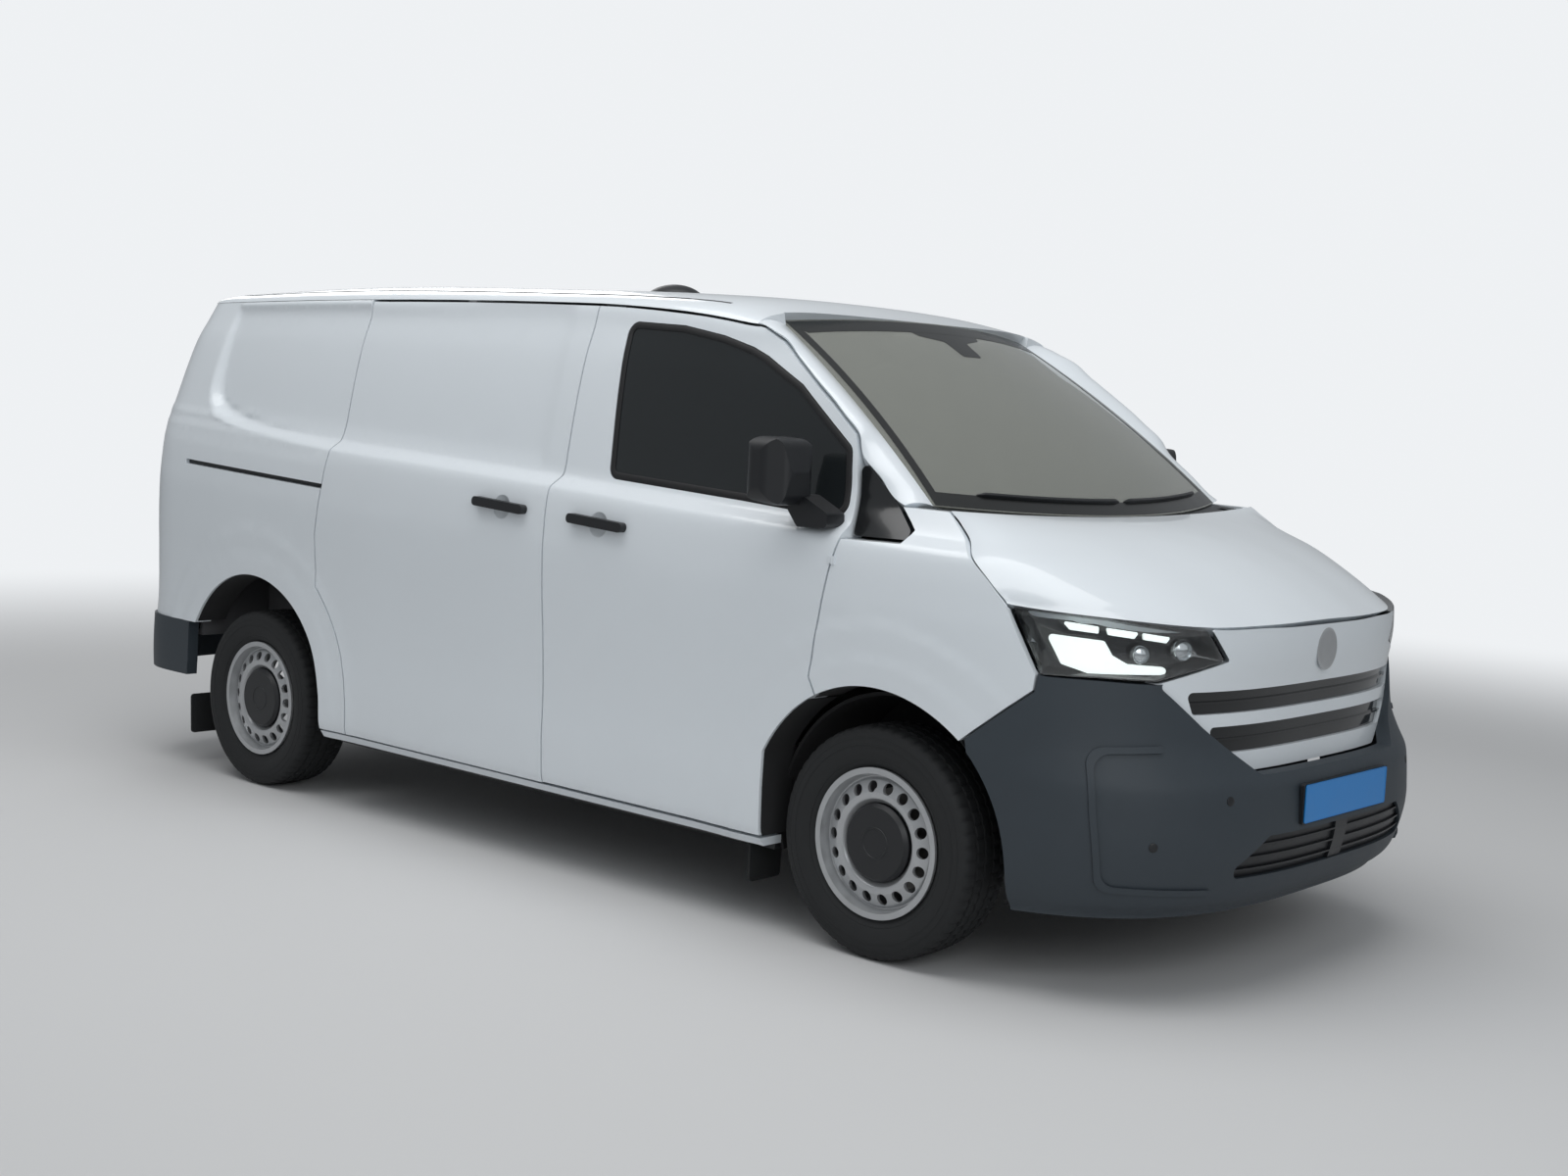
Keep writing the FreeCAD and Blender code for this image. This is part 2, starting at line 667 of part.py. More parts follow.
# Headlamps: outline in shares of half the width and of the height, seen along the corner's diagonal
lamp_share = [(0.9488, 0.5433), (0.8189, 0.5368), (0.562, 0.5212), (0.4941, 0.4778), (0.7028, 0.4476),
              (0.8287, 0.4516), (0.9163, 0.4531)]
lamp_corner = [10.0, 90.0, 14.0, 6.0, 24.0, 60.0, 24.0]
lamp_depth = 130.0
diagonal = math.sqrt(0.5)


def lamp_prism(gap):
    """Lamp outline on the left corner, swept along the corner's diagonal."""
    flat = []
    for y_share, z_share in lamp_share:
        y = y_share * half_width
        z = z_share * body_height
        flat.append(((y - nose_x(y, z)) * diagonal, z))
    start = (nose_start_x + half_width) * diagonal - half_width * diagonal
    wire = wire_of(outset(flat, gap), lamp_corner,
                   lambda a, b: Vector(-a * diagonal + start * diagonal, a * diagonal + start * diagonal, b))
    return Part.Face(wire).extrude(Vector(1, 1, 0) * half_width)


# Hood: rear edge, front edge and a crown between them
hood_front_share = [(0.0, 0.9625, 0.0), (0.2, 0.96, 0.18), (0.4, 0.9515, 0.35), (0.62, 0.9335, 0.565),
                    (0.8, 0.882, 0.765), (0.92, 0.822, 0.895), (1.0, 0.7782, 0.9488)]
hood_front_z_share = [(0.0, 0.5265), (0.6, 0.5245), (0.85, 0.536), (1.0, 0.5463)]
hood_back_x_share = 0.692
hood_back_bow_share = 0.0216
hood_back_y_share = 0.886
hood_back_z_share = 0.6512
hood_back_lift_share = 0.0111
hood_crown = 54.0
hood_side_crown = 10.0
hood_under_share = 1.6


def hood_spot(u, v, sink, grow):
    """Hood point: u across from -1 to 1, v from the rear edge, 0, to the front edge, 1."""
    side = 1 if u > 0 else -1
    a = abs(u)
    front = Vector(along([(r[0], r[1]) for r in hood_front_share], a) * half_length,
                   along([(r[0], r[2]) for r in hood_front_share], a) * half_width,
                   along(hood_front_z_share, a) * body_height)
    back = Vector((hood_back_x_share - hood_back_bow_share * a * a) * half_length,
                  hood_back_y_share * a * half_width,
                  (hood_back_z_share + hood_back_lift_share * a * a) * body_height)
    crown = hood_crown + (hood_side_crown - hood_crown) * a * a
    point = back * (1 - v) + front * v
    edge_x = point.x if a == 1 else hood_spot(1, v, 0, 0).x
    edge = side_y(edge_x, hood_edge_z(v)) - hood_edge_y(v)
    y = point.y + edge * a * a + (grow - sink * hood_under_share) * a ** 8
    x = point.x - (sink * hood_under_share - grow) * v ** 4
    return Vector(x, side * y, point.z + crown * 4 * v * (1 - v) - sink)


def hood_edge_z(v):
    back_z = (hood_back_z_share + hood_back_lift_share) * body_height
    return back_z * (1 - v) + hood_front_z_share[-1][1] * body_height * v + hood_side_crown * 4 * v * (1 - v)


def hood_edge_y(v):
    return (hood_back_y_share * (1 - v) + hood_front_share[-1][2] * v) * half_width


def hood_solid(outer, inner, grow, over_share):
    grids = []
    for sink in (outer, inner):
        grids.append([[hood_spot(u, v, sink, grow) for v in spread(-over_share, 1.0 + over_share, 10)]
                      for u in spread(-1.0, 1.0, 20)])
    return slab(grids[0], grids[1])


hood_room_over_share = 0.012
hood_shape = hood_solid(0.0, hood_wall, -seam_gap / 2, 0.0)
hood_room = hood_solid(-hood_wall, hood_wall + seam_gap, seam_gap, hood_room_over_share)
hood_rim_room = hood_room.translated(Vector(-seam_gap, -seam_gap, 0))

# Hood hinges: an arm on each side with a bore, on pins that the cowl carries
hood_hinge_x = 1660.0
hood_hinge_z = 1285.0
hood_hinge_y = 745.0
hinge_pin_radius = 6.0
arm_half = 10.0
arm_slot_half = 20.0
arm_outline = [(-12, -12), (-12, 12), (30, 12), (75, 4), (92, -1), (92, -21), (40, -23), (12, -15)]
arm_points = [(hood_hinge_x + a, hood_hinge_z + b) for a, b in arm_outline]
for side in (1, -1):
    y = side * hood_hinge_y
    arm = side_prism(arm_points, 4.0, y - arm_half, y + arm_half)
    bore = rod(hinge_pin_radius + hinge_running_gap, Vector(hood_hinge_x, y - arm_slot_half, hood_hinge_z),
               Vector(hood_hinge_x, y + arm_slot_half, hood_hinge_z))
    hood_shape = hood_shape.fuse(arm.cut(bore))
save("hood", hood_shape.removeSplitter())

# Fender
fender_stations = spread(0.50 * half_length, 0.825 * half_length, 32)
fender_low_share = spread(0.30, 1.0, 24)
fender_high_share = spread(0.0, 0.32, 6)
fender_slab = side_slab(fender_stations, fender_low_share, fender_high_share, fit_gap)
fender_ring = [(front_axle_x, front_arch_z)] + side_spots(door_front_share)[-4:][::-1]
fender_ring += side_spots(fender_top_share)
door_zone = side_prism(outset(door_ring, seam_gap / 2), 0, 0, half_width + cut_over)
fender_shape = fender_slab.common(side_prism(outset(fender_ring, -seam_gap / 2), 0, 0, half_width + cut_over))
fender_shape = fender_shape.cut(door_zone).cut(front_arch).cut(hood_room).cut(hood_rim_room).cut(lamp_prism(fit_gap))
for hood_angle in (15, 29, 44):
    swing = hood_room.copy()
    swing.rotate(Vector(hood_hinge_x, 0, hood_hinge_z), Vector(0, -1, 0), hood_angle)
    fender_shape = fender_shape.cut(swing)
door_pin = rod(door_pin_radius, Vector(door_hinge_x, door_hinge_y, door_pin_low_z),
               Vector(door_hinge_x, door_hinge_y, door_pin_high_z))
door_web = block(door_hinge_x, door_hinge_x + 3 * door_pin_radius, door_hinge_y - 3 * door_pin_radius,
                 door_hinge_y + door_pin_radius / 2, door_pin_low_z, door_pin_high_z)
fender_shape = fuse([fender_shape, door_pin, door_web])
save("fender_left", fender_shape)
save("fender_right", flip(fender_shape))

# Windscreen: edges in shares of half the length, width and the height
screen_foot_x_share = 0.6855
screen_foot_back_share = 0.0598
screen_foot_y_share = 0.798
screen_foot_z_share = 0.6512
screen_foot_lift_share = 0.0141
screen_top_x_share = 0.3644
screen_top_back_share = 0.0384
screen_top_y_share = 0.6486
screen_top_z_share = 0.9501
screen_top_drop_share = 0.0156
screen_bulge = 26.0


def screen_spot(u, v, depth):
    """Point on the windscreen: u across from -1 to 1, v up from 0 to 1, depth under its outer face."""
    foot = Vector((screen_foot_x_share - screen_foot_back_share * u * u) * half_length,
                  screen_foot_y_share * half_width * u,
                  (screen_foot_z_share + screen_foot_lift_share * u * u) * body_height)
    top = Vector((screen_top_x_share - screen_top_back_share * u * u) * half_length,
                 screen_top_y_share * half_width * u,
                 (screen_top_z_share - screen_top_drop_share * u * u) * body_height)
    rise = top - foot
    out = Vector(rise.z, 0, -rise.x).normalize()
    lean = Vector(out.x, u * screen_turn_share, out.z).normalize()
    return foot + rise * v + lean * (screen_bulge * 4 * v * (1 - v) - depth)


screen_turn_share = 0.42


def screen_slab(margin_u_share, margin_v_share, outer_depth, inner_depth):
    grids = []
    for depth in (outer_depth, inner_depth):
        across = spread(-1 - margin_u_share, 1 + margin_u_share, 12)
        up = spread(-margin_v_share, 1 + margin_v_share, 8)
        grids.append([[screen_spot(u, v, depth) for v in up] for u in across])
    return slab(grids[0], grids[1])


windscreen = screen_slab(0.0, 0.0, 0.0, windscreen_thickness)
save("windscreen", windscreen)
screen_room = screen_slab(fit_gap / half_width, fit_gap / half_width, -pillar_wall * 2, windscreen_thickness + fit_gap)

# Pillars beside the windscreen
pillar_top_x = 0.337 * half_length
pillar_seam = [p for p in side_spots(door_front_share) if pillar_top_x - ledge_half < p[0]]
pillar_line_share = [(0.310, 0.9345), (0.350, 0.9225), (0.3855, 0.904), (0.428, 0.863), (0.4842, 0.811),
                     (0.5275, 0.7655), (0.5385, 0.733), (0.600, 0.6690), (0.6080, 0.6650)]


def pillar_spot(s, t, depth):
    """Point on the pillar: t up from its foot, s across from the door's seam to the glass."""
    line = side_spots(pillar_line_share)[::-1]
    place = t * (len(line) - 1)
    k = min(int(place), len(line) - 2)
    f = place - k
    x = line[k][0] * (1 - f) + line[k + 1][0] * f
    z = line[k][1] * (1 - f) + line[k + 1][1] * f
    seam = Vector(x, side_y(x, z), z)
    foot_z = screen_spot(1, 0, 0).z
    top_z = screen_spot(1, 1, 0).z
    v = (z - foot_z) / (top_z - foot_z)
    glass = screen_spot(1, max(min(v, 1.06), -0.02), 0)
    out = Vector(pillar_out_share[0], pillar_out_share[1], pillar_out_share[2]).normalize()
    point = seam * (1 - s) + glass * s
    lift = pillar_bulge * 4 * s * (1 - s) if s < 1 else -pillar_bulge * 4 * (s - 1)
    return point + out * (lift - depth)


pillar_out_share = (0.52, 0.66, 0.54)
pillar_bulge = 17.0
pillar_grids = []
for depth in (0.0, pillar_wall):
    across_share = [0.0, 0.12, 0.3, 0.5, 0.7, 0.88, 1.0, 1.12, 1.26]
    pillar_grids.append([[pillar_spot(s, t, depth) for s in across_share] for t in spread(0.0, 1.0, 16)])
pillar_slab = slab(pillar_grids[0], pillar_grids[1])
pillar_shape = pillar_slab.cut(screen_room)
pillar_shape = pillar_shape.cut(block(0, pillar_top_x, 0, half_width, 0, body_height + cut_over))
pillar_shape = pillar_shape.cut(door_room).cut(sail_room).cut(fender_shape)
save("pillar_left", pillar_shape)
save("pillar_right", flip(pillar_shape))

# Roof: shares of the rail's half width and of the height from rail to crown
roof_row_share = [(0.0, 1.0), (0.2, 0.99), (0.4, 0.952), (0.58, 0.885), (0.74, 0.77), (0.86, 0.60), (0.94, 0.40),
                  (0.98, 0.22), (1.0, 0.02)]


def roof_spot(row, t, sink):
    """Roof point at row from -8 to 8 and nominal station t, sunk below the outer skin."""
    across, up = roof_row_share[abs(row)]
    edge_z = rail_z(t)
    s = max(0.0, tail_start_x - t) / tail_reach
    length = tail_length(edge_z)
    x = t if s <= 0 else tail_start_x - s * length
    edge_y = side_y(t if s <= 0 else tail_start_x, edge_z) * round_end(s, tail_power_x_share, tail_power_y_share)
    crown_z = along(crown_share, t / half_length) * body_height
    z = edge_z + fit_gap + (crown_z - edge_z) * up
    side = 1 if row > 0 else -1
    y = side * (edge_y * across - sink * (0 if row == 0 else across ** 6))
    return Vector(x, y, max(z - sink, edge_z + roof_rim_gap) if sink > 0 else z)


roof_grids = []
roof_stations = spread(tail_start_x - tail_end_share * tail_reach, tail_start_x, 6) + spread(
    -0.80 * half_length, 0.24 * half_length, 12) + spread(0.27 * half_length, 0.385 * half_length, 5)
for sink in (0.0, roof_wall):
    roof_grids.append([[roof_spot(row, t, sink) for row in range(-8, 9)] for t in roof_stations])
roof_slab = slab(roof_grids[0], roof_grids[1])
roof_shape = roof_slab.cut(screen_room)
roof_shoulder_y = screen_spot(1, 1, 0).y + fit_gap
for side in (1, -1):
    y0, y1 = sorted((side * roof_shoulder_y, side * half_width))
    roof_shape = roof_shape.cut(block(pillar_top_x - fit_gap, half_length, y0, y1, 0, body_height + cut_over))

# Tailgate: its edges follow the body's section
tailgate_top_drop = 8.0
tailgate_top_rise = 10.0
tailgate_low_z = bumper_top_z + seam_gap
tailgate_edge_z = rail_z(tail_start_x)
rear_window_low_z = 1290.0
rear_window_high_z = 1790.0
rear_window_low_y = 610.0
rear_window_high_y = 545.0
rear_window_corner = 70.0


def tailgate_top(share):
    """Height of the tailgate's upper edge, just under the roof's line."""
    crown_z = along(crown_share, tailgate_crown_share) * body_height
    return tailgate_edge_z + (crown_z - tailgate_edge_z) * along(roof_row_share, abs(share)) - tailgate_top_drop


tailgate_crown_share = -0.90


def tail_spot(share, z, depth, margin):
    """Point of the rear end at a share of the section's half width, margin inside its edge."""
    bow = (1 - abs(share) ** tail_power_y_share) ** (1 / tail_power_x_share)
    flat_z = min(z, tailgate_edge_z)
    end = tail_start_x - tail_end_share * tail_reach
    outer = station(end, flat_z, False, 0).y / tail_end_width_share
    wide = outer + (station(end, flat_z, True, 0).y / tail_end_width_share - outer) * depth / tailgate_wall
    return Vector(tail_start_x - (tail_length(z) - depth) * bow,
                  wide * share - margin * share / tail_end_width_share, z)


def tail_slab(depth_a, depth_b, low_z, lift, rise, margin):
    grids = []
    for depth in (depth_a, depth_b):
        grid = []
        for share in spread(-tail_end_width_share, tail_end_width_share, 18):
            top_z = tailgate_top(share) + lift
            row = [tail_spot(share, z, depth, margin) for z in spread(low_z, top_z, 24)]
            if depth > depth_a:
                row[-1] = row[-1] + Vector(0, 0, rise)
            grid.append(row)
        grids.append(grid)
    return slab(grids[0], grids[1])


gate_margin = 10.0
tailgate_slab = tail_slab(0.0, tailgate_wall, tailgate_low_z, 0.0, tailgate_top_rise, gate_margin)
rear_window_ring = [(-rear_window_low_y, rear_window_low_z), (rear_window_low_y, rear_window_low_z),
                    (rear_window_high_y, rear_window_high_z), (-rear_window_high_y, rear_window_high_z)]
tailgate_shape = tailgate_slab.cut(front_prism(rear_window_ring, rear_window_corner, -half_length - cut_over,
                                               tail_start_x + cut_over))
rear_glass = tail_slab(glass_sink, glass_sink + glass_thickness, rear_window_low_z - cut_over, 0.0, 0.0,
                       gate_margin).common(
    front_prism(outset(rear_window_ring, -fit_gap), rear_window_corner, -half_length - cut_over, tail_start_x))
save("tailgate_glass", rear_glass)
gate_room = tail_slab(-tailgate_wall, tailgate_wall + gate_margin, tailgate_edge_z - cut_over, 2 * cut_over, 0.0,
                      -fit_gap)

# Tailgate hinges: arms on the roof with pins in the tailgate's upper edge
gate_hinge_x = -2250.0
gate_hinge_z = 1930.0
gate_hinge_y = 350.0
gate_arm_half = 18.0
gate_notch_half = 26.0
gate_pin_half = 34.0
gate_pin_radius = 4.5
gate_arm_reach = 76.0
gate_arm_rise = 17.0
gate_arm_foot = 9.0
gate_sweep_radius = 59.0
gate_arm_points = [(gate_hinge_x + gate_arm_reach, gate_hinge_z), (gate_hinge_x + gate_arm_reach, gate_hinge_z + gate_arm_rise),
                   (gate_hinge_x, gate_hinge_z + gate_arm_rise), (gate_hinge_x - gate_arm_foot, gate_hinge_z + gate_arm_foot),
                   (gate_hinge_x - gate_arm_foot, gate_hinge_z - gate_arm_foot),
                   (gate_hinge_x + gate_arm_foot, gate_hinge_z - gate_arm_foot),
                   (gate_hinge_x + gate_arm_rise, gate_hinge_z)]
gate_lip = 12.0
gate_lip_rows = 7
lip_points = [roof_spot(row, gate_hinge_x + gate_sweep_radius, 0.0)
              for row in range(gate_lip_rows, -gate_lip_rows - 1, -1)]
lip_ring = [(p.y, p.z - gate_lip) for p in lip_points]
lip_ring += [(lip_points[-1].y, tailgate_low_z), (lip_points[0].y, tailgate_low_z)]
gate_sweep = front_prism(lip_ring, 0, -half_length, gate_hinge_x + gate_sweep_radius)
gate_arms = []
for side in (1, -1):
    y = side * gate_hinge_y
    start = Vector(gate_hinge_x, y - gate_pin_half, gate_hinge_z)
    end = Vector(gate_hinge_x, y + gate_pin_half, gate_hinge_z)
    gate_arms.append(side_prism(gate_arm_points, 3.0, y - gate_arm_half, y + gate_arm_half))
    gate_arms.append(rod(gate_pin_radius, start, end))
    tailgate_shape = tailgate_shape.cut(block(gate_hinge_x - cut_over, gate_hinge_x + gate_sweep_radius,
                                              y - gate_notch_half, y + gate_notch_half,
                                              gate_hinge_z - gate_notch_half, body_height))
    tailgate_shape = tailgate_shape.cut(rod(gate_pin_radius + hinge_running_gap, start, end))
save("tailgate", tailgate_shape)
roof_shape = fuse([roof_shape.cut(gate_room).cut(gate_sweep).cut(door_rooms)] + gate_arms)
save("roof_panel", roof_shape)


lamp_layer = ring_slab(0.40 * body_height, 0.575 * body_height, 8, 1.0, lamp_depth, nose_profile_share, None)
headlamp_shape = lamp_layer.common(lamp_prism(0.0)).cut(hood_room).cut(hood_rim_room)
save("headlamp_left", headlamp_shape)
save("headlamp_right", flip(headlamp_shape))
lamp_room = lamp_prism(fit_gap)
lamp_rooms = lamp_room.fuse(flip(lamp_room))

# White panel between the lamps, with two slots
mask_share = [(0.566, 0.5232), (0.5, 0.4788), (0.709, 0.4466), (0.5787, 0.3866), (0.4094, 0.3201)]
mask_corner = [8.0, 8.0, 14.0, 60.0, 40.0]
slot_high_share = [(0.6211, 0.435), (0.5965, 0.4032)]
slot_low_share = [(0.5581, 0.3851), (0.4724, 0.3478)]
slot_corner = 14.0


def both_sides(half_share):
    """Full front view outline from its left half, given from the top down."""
    left = [(a * half_width, b * body_height) for a, b in half_share]
    return left + [(-a, b) for a, b in reversed(left)]


def front_zone(half_share, radius, gap):
    ring = outset(both_sides(half_share), gap)
    corners = radius + radius[::-1] if isinstance(radius, list) else radius
    return front_prism(ring, corners, nose_start_x, half_length + cut_over)


mask_layer = ring_slab(0.30 * body_height, 0.56 * body_height, 12, 0.0, nose_wall, nose_profile_share, None)
mask_zone = front_zone(mask_share, mask_corner, 0.0)
mask_shape = mask_layer.common(mask_zone).cut(lamp_rooms)
slots = front_zone(slot_high_share, slot_corner, 0.0).fuse(front_zone(slot_low_share, slot_corner, 0.0))
mask_shape = mask_shape.cut(slots).cut(hood_room)
save("grille_panel", mask_shape)

# Dark slats in the two slots, on a plate behind the panel
slat_sink = 14.0
plate_thickness = 12.0
plate_half_y_share = 0.60
plate_low_share = 0.335
plate_high_share = 0.45
slat_layer = ring_slab(0.32 * body_height, 0.46 * body_height, 8, slat_sink, nose_wall + plate_thickness / 2,
                       nose_profile_share, None)
slat_zone = front_zone(slot_high_share, slot_corner, -fit_gap).fuse(front_zone(slot_low_share, slot_corner, -fit_gap))
plate_layer = ring_slab(0.32 * body_height, 0.46 * body_height, 8, nose_wall + fit_gap, nose_wall + plate_thickness,
                        nose_profile_share, None)
plate_zone = front_zone([(plate_half_y_share, plate_high_share), (plate_half_y_share, plate_low_share)],
                        slot_corner, 0.0)
slat_proud = 5.0
slat_half = 2.5
slat_rows = 3


def slat_bar(z_share, proud, profile_share, width_share):
    """Thin bar that stands out of a sunk plate at one height of the nose."""
    z = z_share * body_height
    return ring_slab(z - slat_half, z + slat_half, slat_rows, proud, slat_sink + slat_proud, profile_share, width_share)


slat_high_share = 0.419
slat_low_share = 0.3665
slat_bars = [slat_bar(slat_high_share, slat_proud, nose_profile_share, None),
             slat_bar(slat_low_share, slat_proud, nose_profile_share, None)]
slat_bars = [bar.common(slat_zone) for bar in slat_bars]
save("grille_slats", fuse([slat_layer.common(slat_zone), plate_layer.common(plate_zone)] + slat_bars))

# Front bumper
bumper_low_z = 240.0
bumper_high_share = 0.46
lower_grille_share = [(0.40, 0.236), (0.565, 0.178)]
lower_grille_corner = 22.0
bumper_layer = ring_slab(bumper_low_z, bumper_high_share * body_height, 20, 0.0, nose_wall, bumper_profile_share,
                         bumper_width_share)
bumper_shape = bumper_layer.cut(front_arch).cut(flip(front_arch))
bumper_shape = bumper_shape.cut(lamp_prism(seam_gap / 2)).cut(flip(lamp_prism(seam_gap / 2)))
bumper_shape = bumper_shape.cut(front_zone(mask_share, mask_corner, fit_gap))
bumper_shape = bumper_shape.cut(front_zone(lower_grille_share, lower_grille_corner, 0.0))
fender_zone = side_prism(outset(fender_ring, seam_gap / 2), 0, half_width * 0.6, half_width + cut_over)
bumper_shape = bumper_shape.cut(fender_zone).cut(flip(fender_zone))
# Raised rib round each end of the bumper, drawn in the plane across the corner's diagonal
rib_share = [(0.700, 0.3599), (0.855, 0.3564), (0.867, 0.2722), (0.8415, 0.1683), (0.5768, 0.1613)]
rib_half = 9.0
rib_proud = 7.0
rib_corner = 46.0
rib_low_share = 0.135
rib_high_share = 0.39
rib_rows = 14


def across_corner(y_share, z_share):
    """Place of a spot of the bumper in the plane across the corner's diagonal."""
    z = z_share * body_height
    share = y_share / along(bumper_width_share, z_share)
    spot = ring_spot(share, z, 0, bumper_profile_share, bumper_width_share)
    return ((spot.y - spot.x) * diagonal, z)


def band(points, half):
    """Closed outline of an even band along an open path."""
    sides = []
    for way in (1, -1):
        moved = []
        for i, (px, py) in enumerate(points):
            ax, ay = points[max(i - 1, 0)]
            bx, by = points[min(i + 1, len(points) - 1)]
            l1 = math.hypot(px - ax, py - ay)
            l2 = math.hypot(bx - px, by - py)
            n1 = (-(py - ay) / l1, (px - ax) / l1) if l1 > 0 else (-(by - py) / l2, (bx - px) / l2)
            n2 = (-(by - py) / l2, (bx - px) / l2) if l2 > 0 else n1
            k = 1 + n1[0] * n2[0] + n1[1] * n2[1]
            moved.append((px + way * half * (n1[0] + n2[0]) / k, py + way * half * (n1[1] + n2[1]) / k))
        sides.append(moved)
    return sides[0] + sides[1][::-1]


rib_path = [across_corner(a, b) for a, b in rib_share]
rib_wire = wire_of(band(rib_path, rib_half), rib_corner,
                   lambda a, b: Vector(half_width - a * diagonal, half_width + a * diagonal, b))
rib_prism = Part.Face(rib_wire).extrude(Vector(1, 1, 0) * half_width)
rib_layer = ring_slab(rib_low_share * body_height, rib_high_share * body_height, rib_rows, -rib_proud, nose_wall / 2,
                      bumper_profile_share, bumper_width_share)
rib = rib_layer.common(rib_prism)
save("front_bumper", fuse([bumper_shape, rib, flip(rib)]))
grille_low_layer = ring_slab(0.15 * body_height, 0.26 * body_height, 6, slat_sink, nose_wall,
                             bumper_profile_share, bumper_width_share)
lower_zone = front_zone(lower_grille_share, lower_grille_corner, -fit_gap)
lower_bars = [slat_bar(b, slat_proud, bumper_profile_share, bumper_width_share) for b in (0.190, 0.207, 0.224)]
sensor_half_y = 38.0
sensor_layer = ring_slab(0.15 * body_height, 0.26 * body_height, 6, slat_proud, slat_sink + slat_proud,
                         bumper_profile_share, bumper_width_share)
sensor_cover = sensor_layer.common(lower_zone).common(block(0, half_length, -sensor_half_y, sensor_half_y, 0, body_height))
lower_pieces = [bar.common(lower_zone) for bar in lower_bars] + [sensor_cover]
save("lower_grille", fuse([grille_low_layer.common(lower_zone)] + lower_pieces))

# Cowl under the windscreen
cowl_depth = 60.0
cowl_drop = 12.0
cowl_tuck_share = 0.05
cowl_spread_share = 0.35
cowl_grids = []
for depth in (0.0, cowl_depth):
    cowl_grid = []
    for u in spread(-1.0, 1.0, 14):
        tuck = screen_spot(u, cowl_tuck_share, windscreen_thickness + fit_gap)
        foot = screen_spot(u, 0.0, windscreen_thickness + fit_gap)
        edge = hood_spot(u, 0.0, cowl_drop, 0.0) - Vector(seam_gap, 0, 0)
        edge.y = foot.y + (edge.y - foot.y) * cowl_spread_share
        row = [tuck, foot, (foot + edge) * 0.5, edge]
        cowl_grid.append([p - Vector(0, 0, depth) for p in row])
    cowl_grids.append(cowl_grid)
cowl_shape = slab(cowl_grids[0], cowl_grids[1])
pin_reach = arm_slot_half + 2 * fit_gap + hinge_pin_radius / 2
cowl_half = cowl_shape.common(block(0, half_length, 0, half_width, 0, body_height)).cut(pillar_shape)
cowl_half = cowl_half.cut(block(hood_hinge_x - arm_slot_half, half_length, hood_hinge_y - arm_slot_half,
                                hood_hinge_y + arm_slot_half, 0, body_height))
hinge_pin = rod(hinge_pin_radius, Vector(hood_hinge_x, hood_hinge_y - pin_reach, hood_hinge_z),
                Vector(hood_hinge_x, hood_hinge_y + pin_reach, hood_hinge_z))
pillar_foot_x = (0.607, 0.631)
pillar_foot_y = (0.732, 0.802)
pillar_foot_z = (0.645, 0.681)
cowl_half = cowl_half.cut(block(pillar_foot_x[0] * half_length, pillar_foot_x[1] * half_length,
                                pillar_foot_y[0] * half_width, pillar_foot_y[1] * half_width,
                                pillar_foot_z[0] * body_height, pillar_foot_z[1] * body_height))
cowl_half = fuse([cowl_half, hinge_pin])
save("cowl", fuse([cowl_half, flip(cowl_half)]))

# Floor: load floor with two wheel boxes, cab floor ahead of it
rack_x = -700.0
rack_spacing_x = 1200.0
rack_spacing_y = 1060.0
rack_hole_radius = 4.5
floor_wall = 24.0
box_wall = 18.0
floor_half_y = min(inner_y(x, load_floor_z - floor_wall) for x in spread(-half_length / 2, bulkhead_x, 10)) - fit_gap
cab_half_y = floor_half_y - 4 * seam_gap
floor_tail_x = -half_length + nose_wall + fit_gap + tailgate_wall
liner_radius = 432.0
liner_wall = 10.0
cab_floor_nose_x = front_axle_x - liner_radius - fit_gap
steer_room_y = 541.7
firewall_x = 1500.0
firewall_wall = 26.0
load_floor = plan_prism([(floor_tail_x, -floor_half_y), (bulkhead_x, -floor_half_y), (bulkhead_x, floor_half_y),
                         (floor_tail_x, floor_half_y)], [4.5 * cut_over, 0, 0, 4.5 * cut_over],
                        load_floor_z - floor_wall, load_floor_z)
cab_floor = block(bulkhead_x, cab_floor_nose_x, -cab_half_y, cab_half_y, cab_floor_z - floor_wall, cab_floor_z)
toe_floor = block(cab_floor_nose_x, firewall_x, -steer_room_y, steer_room_y, cab_floor_z - floor_wall, cab_floor_z)
floor_step = block(bulkhead_x, bulkhead_x + floor_wall, -cab_half_y, cab_half_y, cab_floor_z - floor_wall,
                   load_floor_z)
floor_shapes = [load_floor, cab_floor, toe_floor, floor_step]
box_x0 = rear_axle_x - wheel_box_length / 2
box_x1 = rear_axle_x + wheel_box_length / 2
box_y0 = floor_half_y - wheel_box_width
box_top_z = load_floor_z + wheel_box_height
for side in (1, -1):
    y0, y1 = sorted((side * box_y0, side * floor_half_y))
    floor_shapes.append(block(box_x0, box_x1, y0, y1, load_floor_z - floor_wall, box_top_z))
floor_shape = fuse(floor_shapes)
for side in (1, -1):
    y0, y1 = sorted((side * (box_y0 + box_wall), side * half_width))
    floor_shape = floor_shape.cut(block(box_x0 + box_wall, box_x1 - box_wall, y0, y1, 0, box_top_z - box_wall))
rack_holes = []
for x in (rack_x - rack_spacing_x / 2, rack_x + rack_spacing_x / 2):
    for y in (-rack_spacing_y / 2, rack_spacing_y / 2):
        rack_holes.append(rod(rack_hole_radius, Vector(x, y, 0), Vector(x, y, body_height)))
floor_shape = floor_shape.cut(Part.makeCompound(rack_holes))
board_thickness = 8.0
board_inset = 20.0
board_half_y = box_y0 - board_inset
floor_board = block(floor_tail_x + cut_over, bulkhead_x - board_inset, -board_half_y, board_half_y, load_floor_z - floor_wall,
                    load_floor_z + board_thickness)
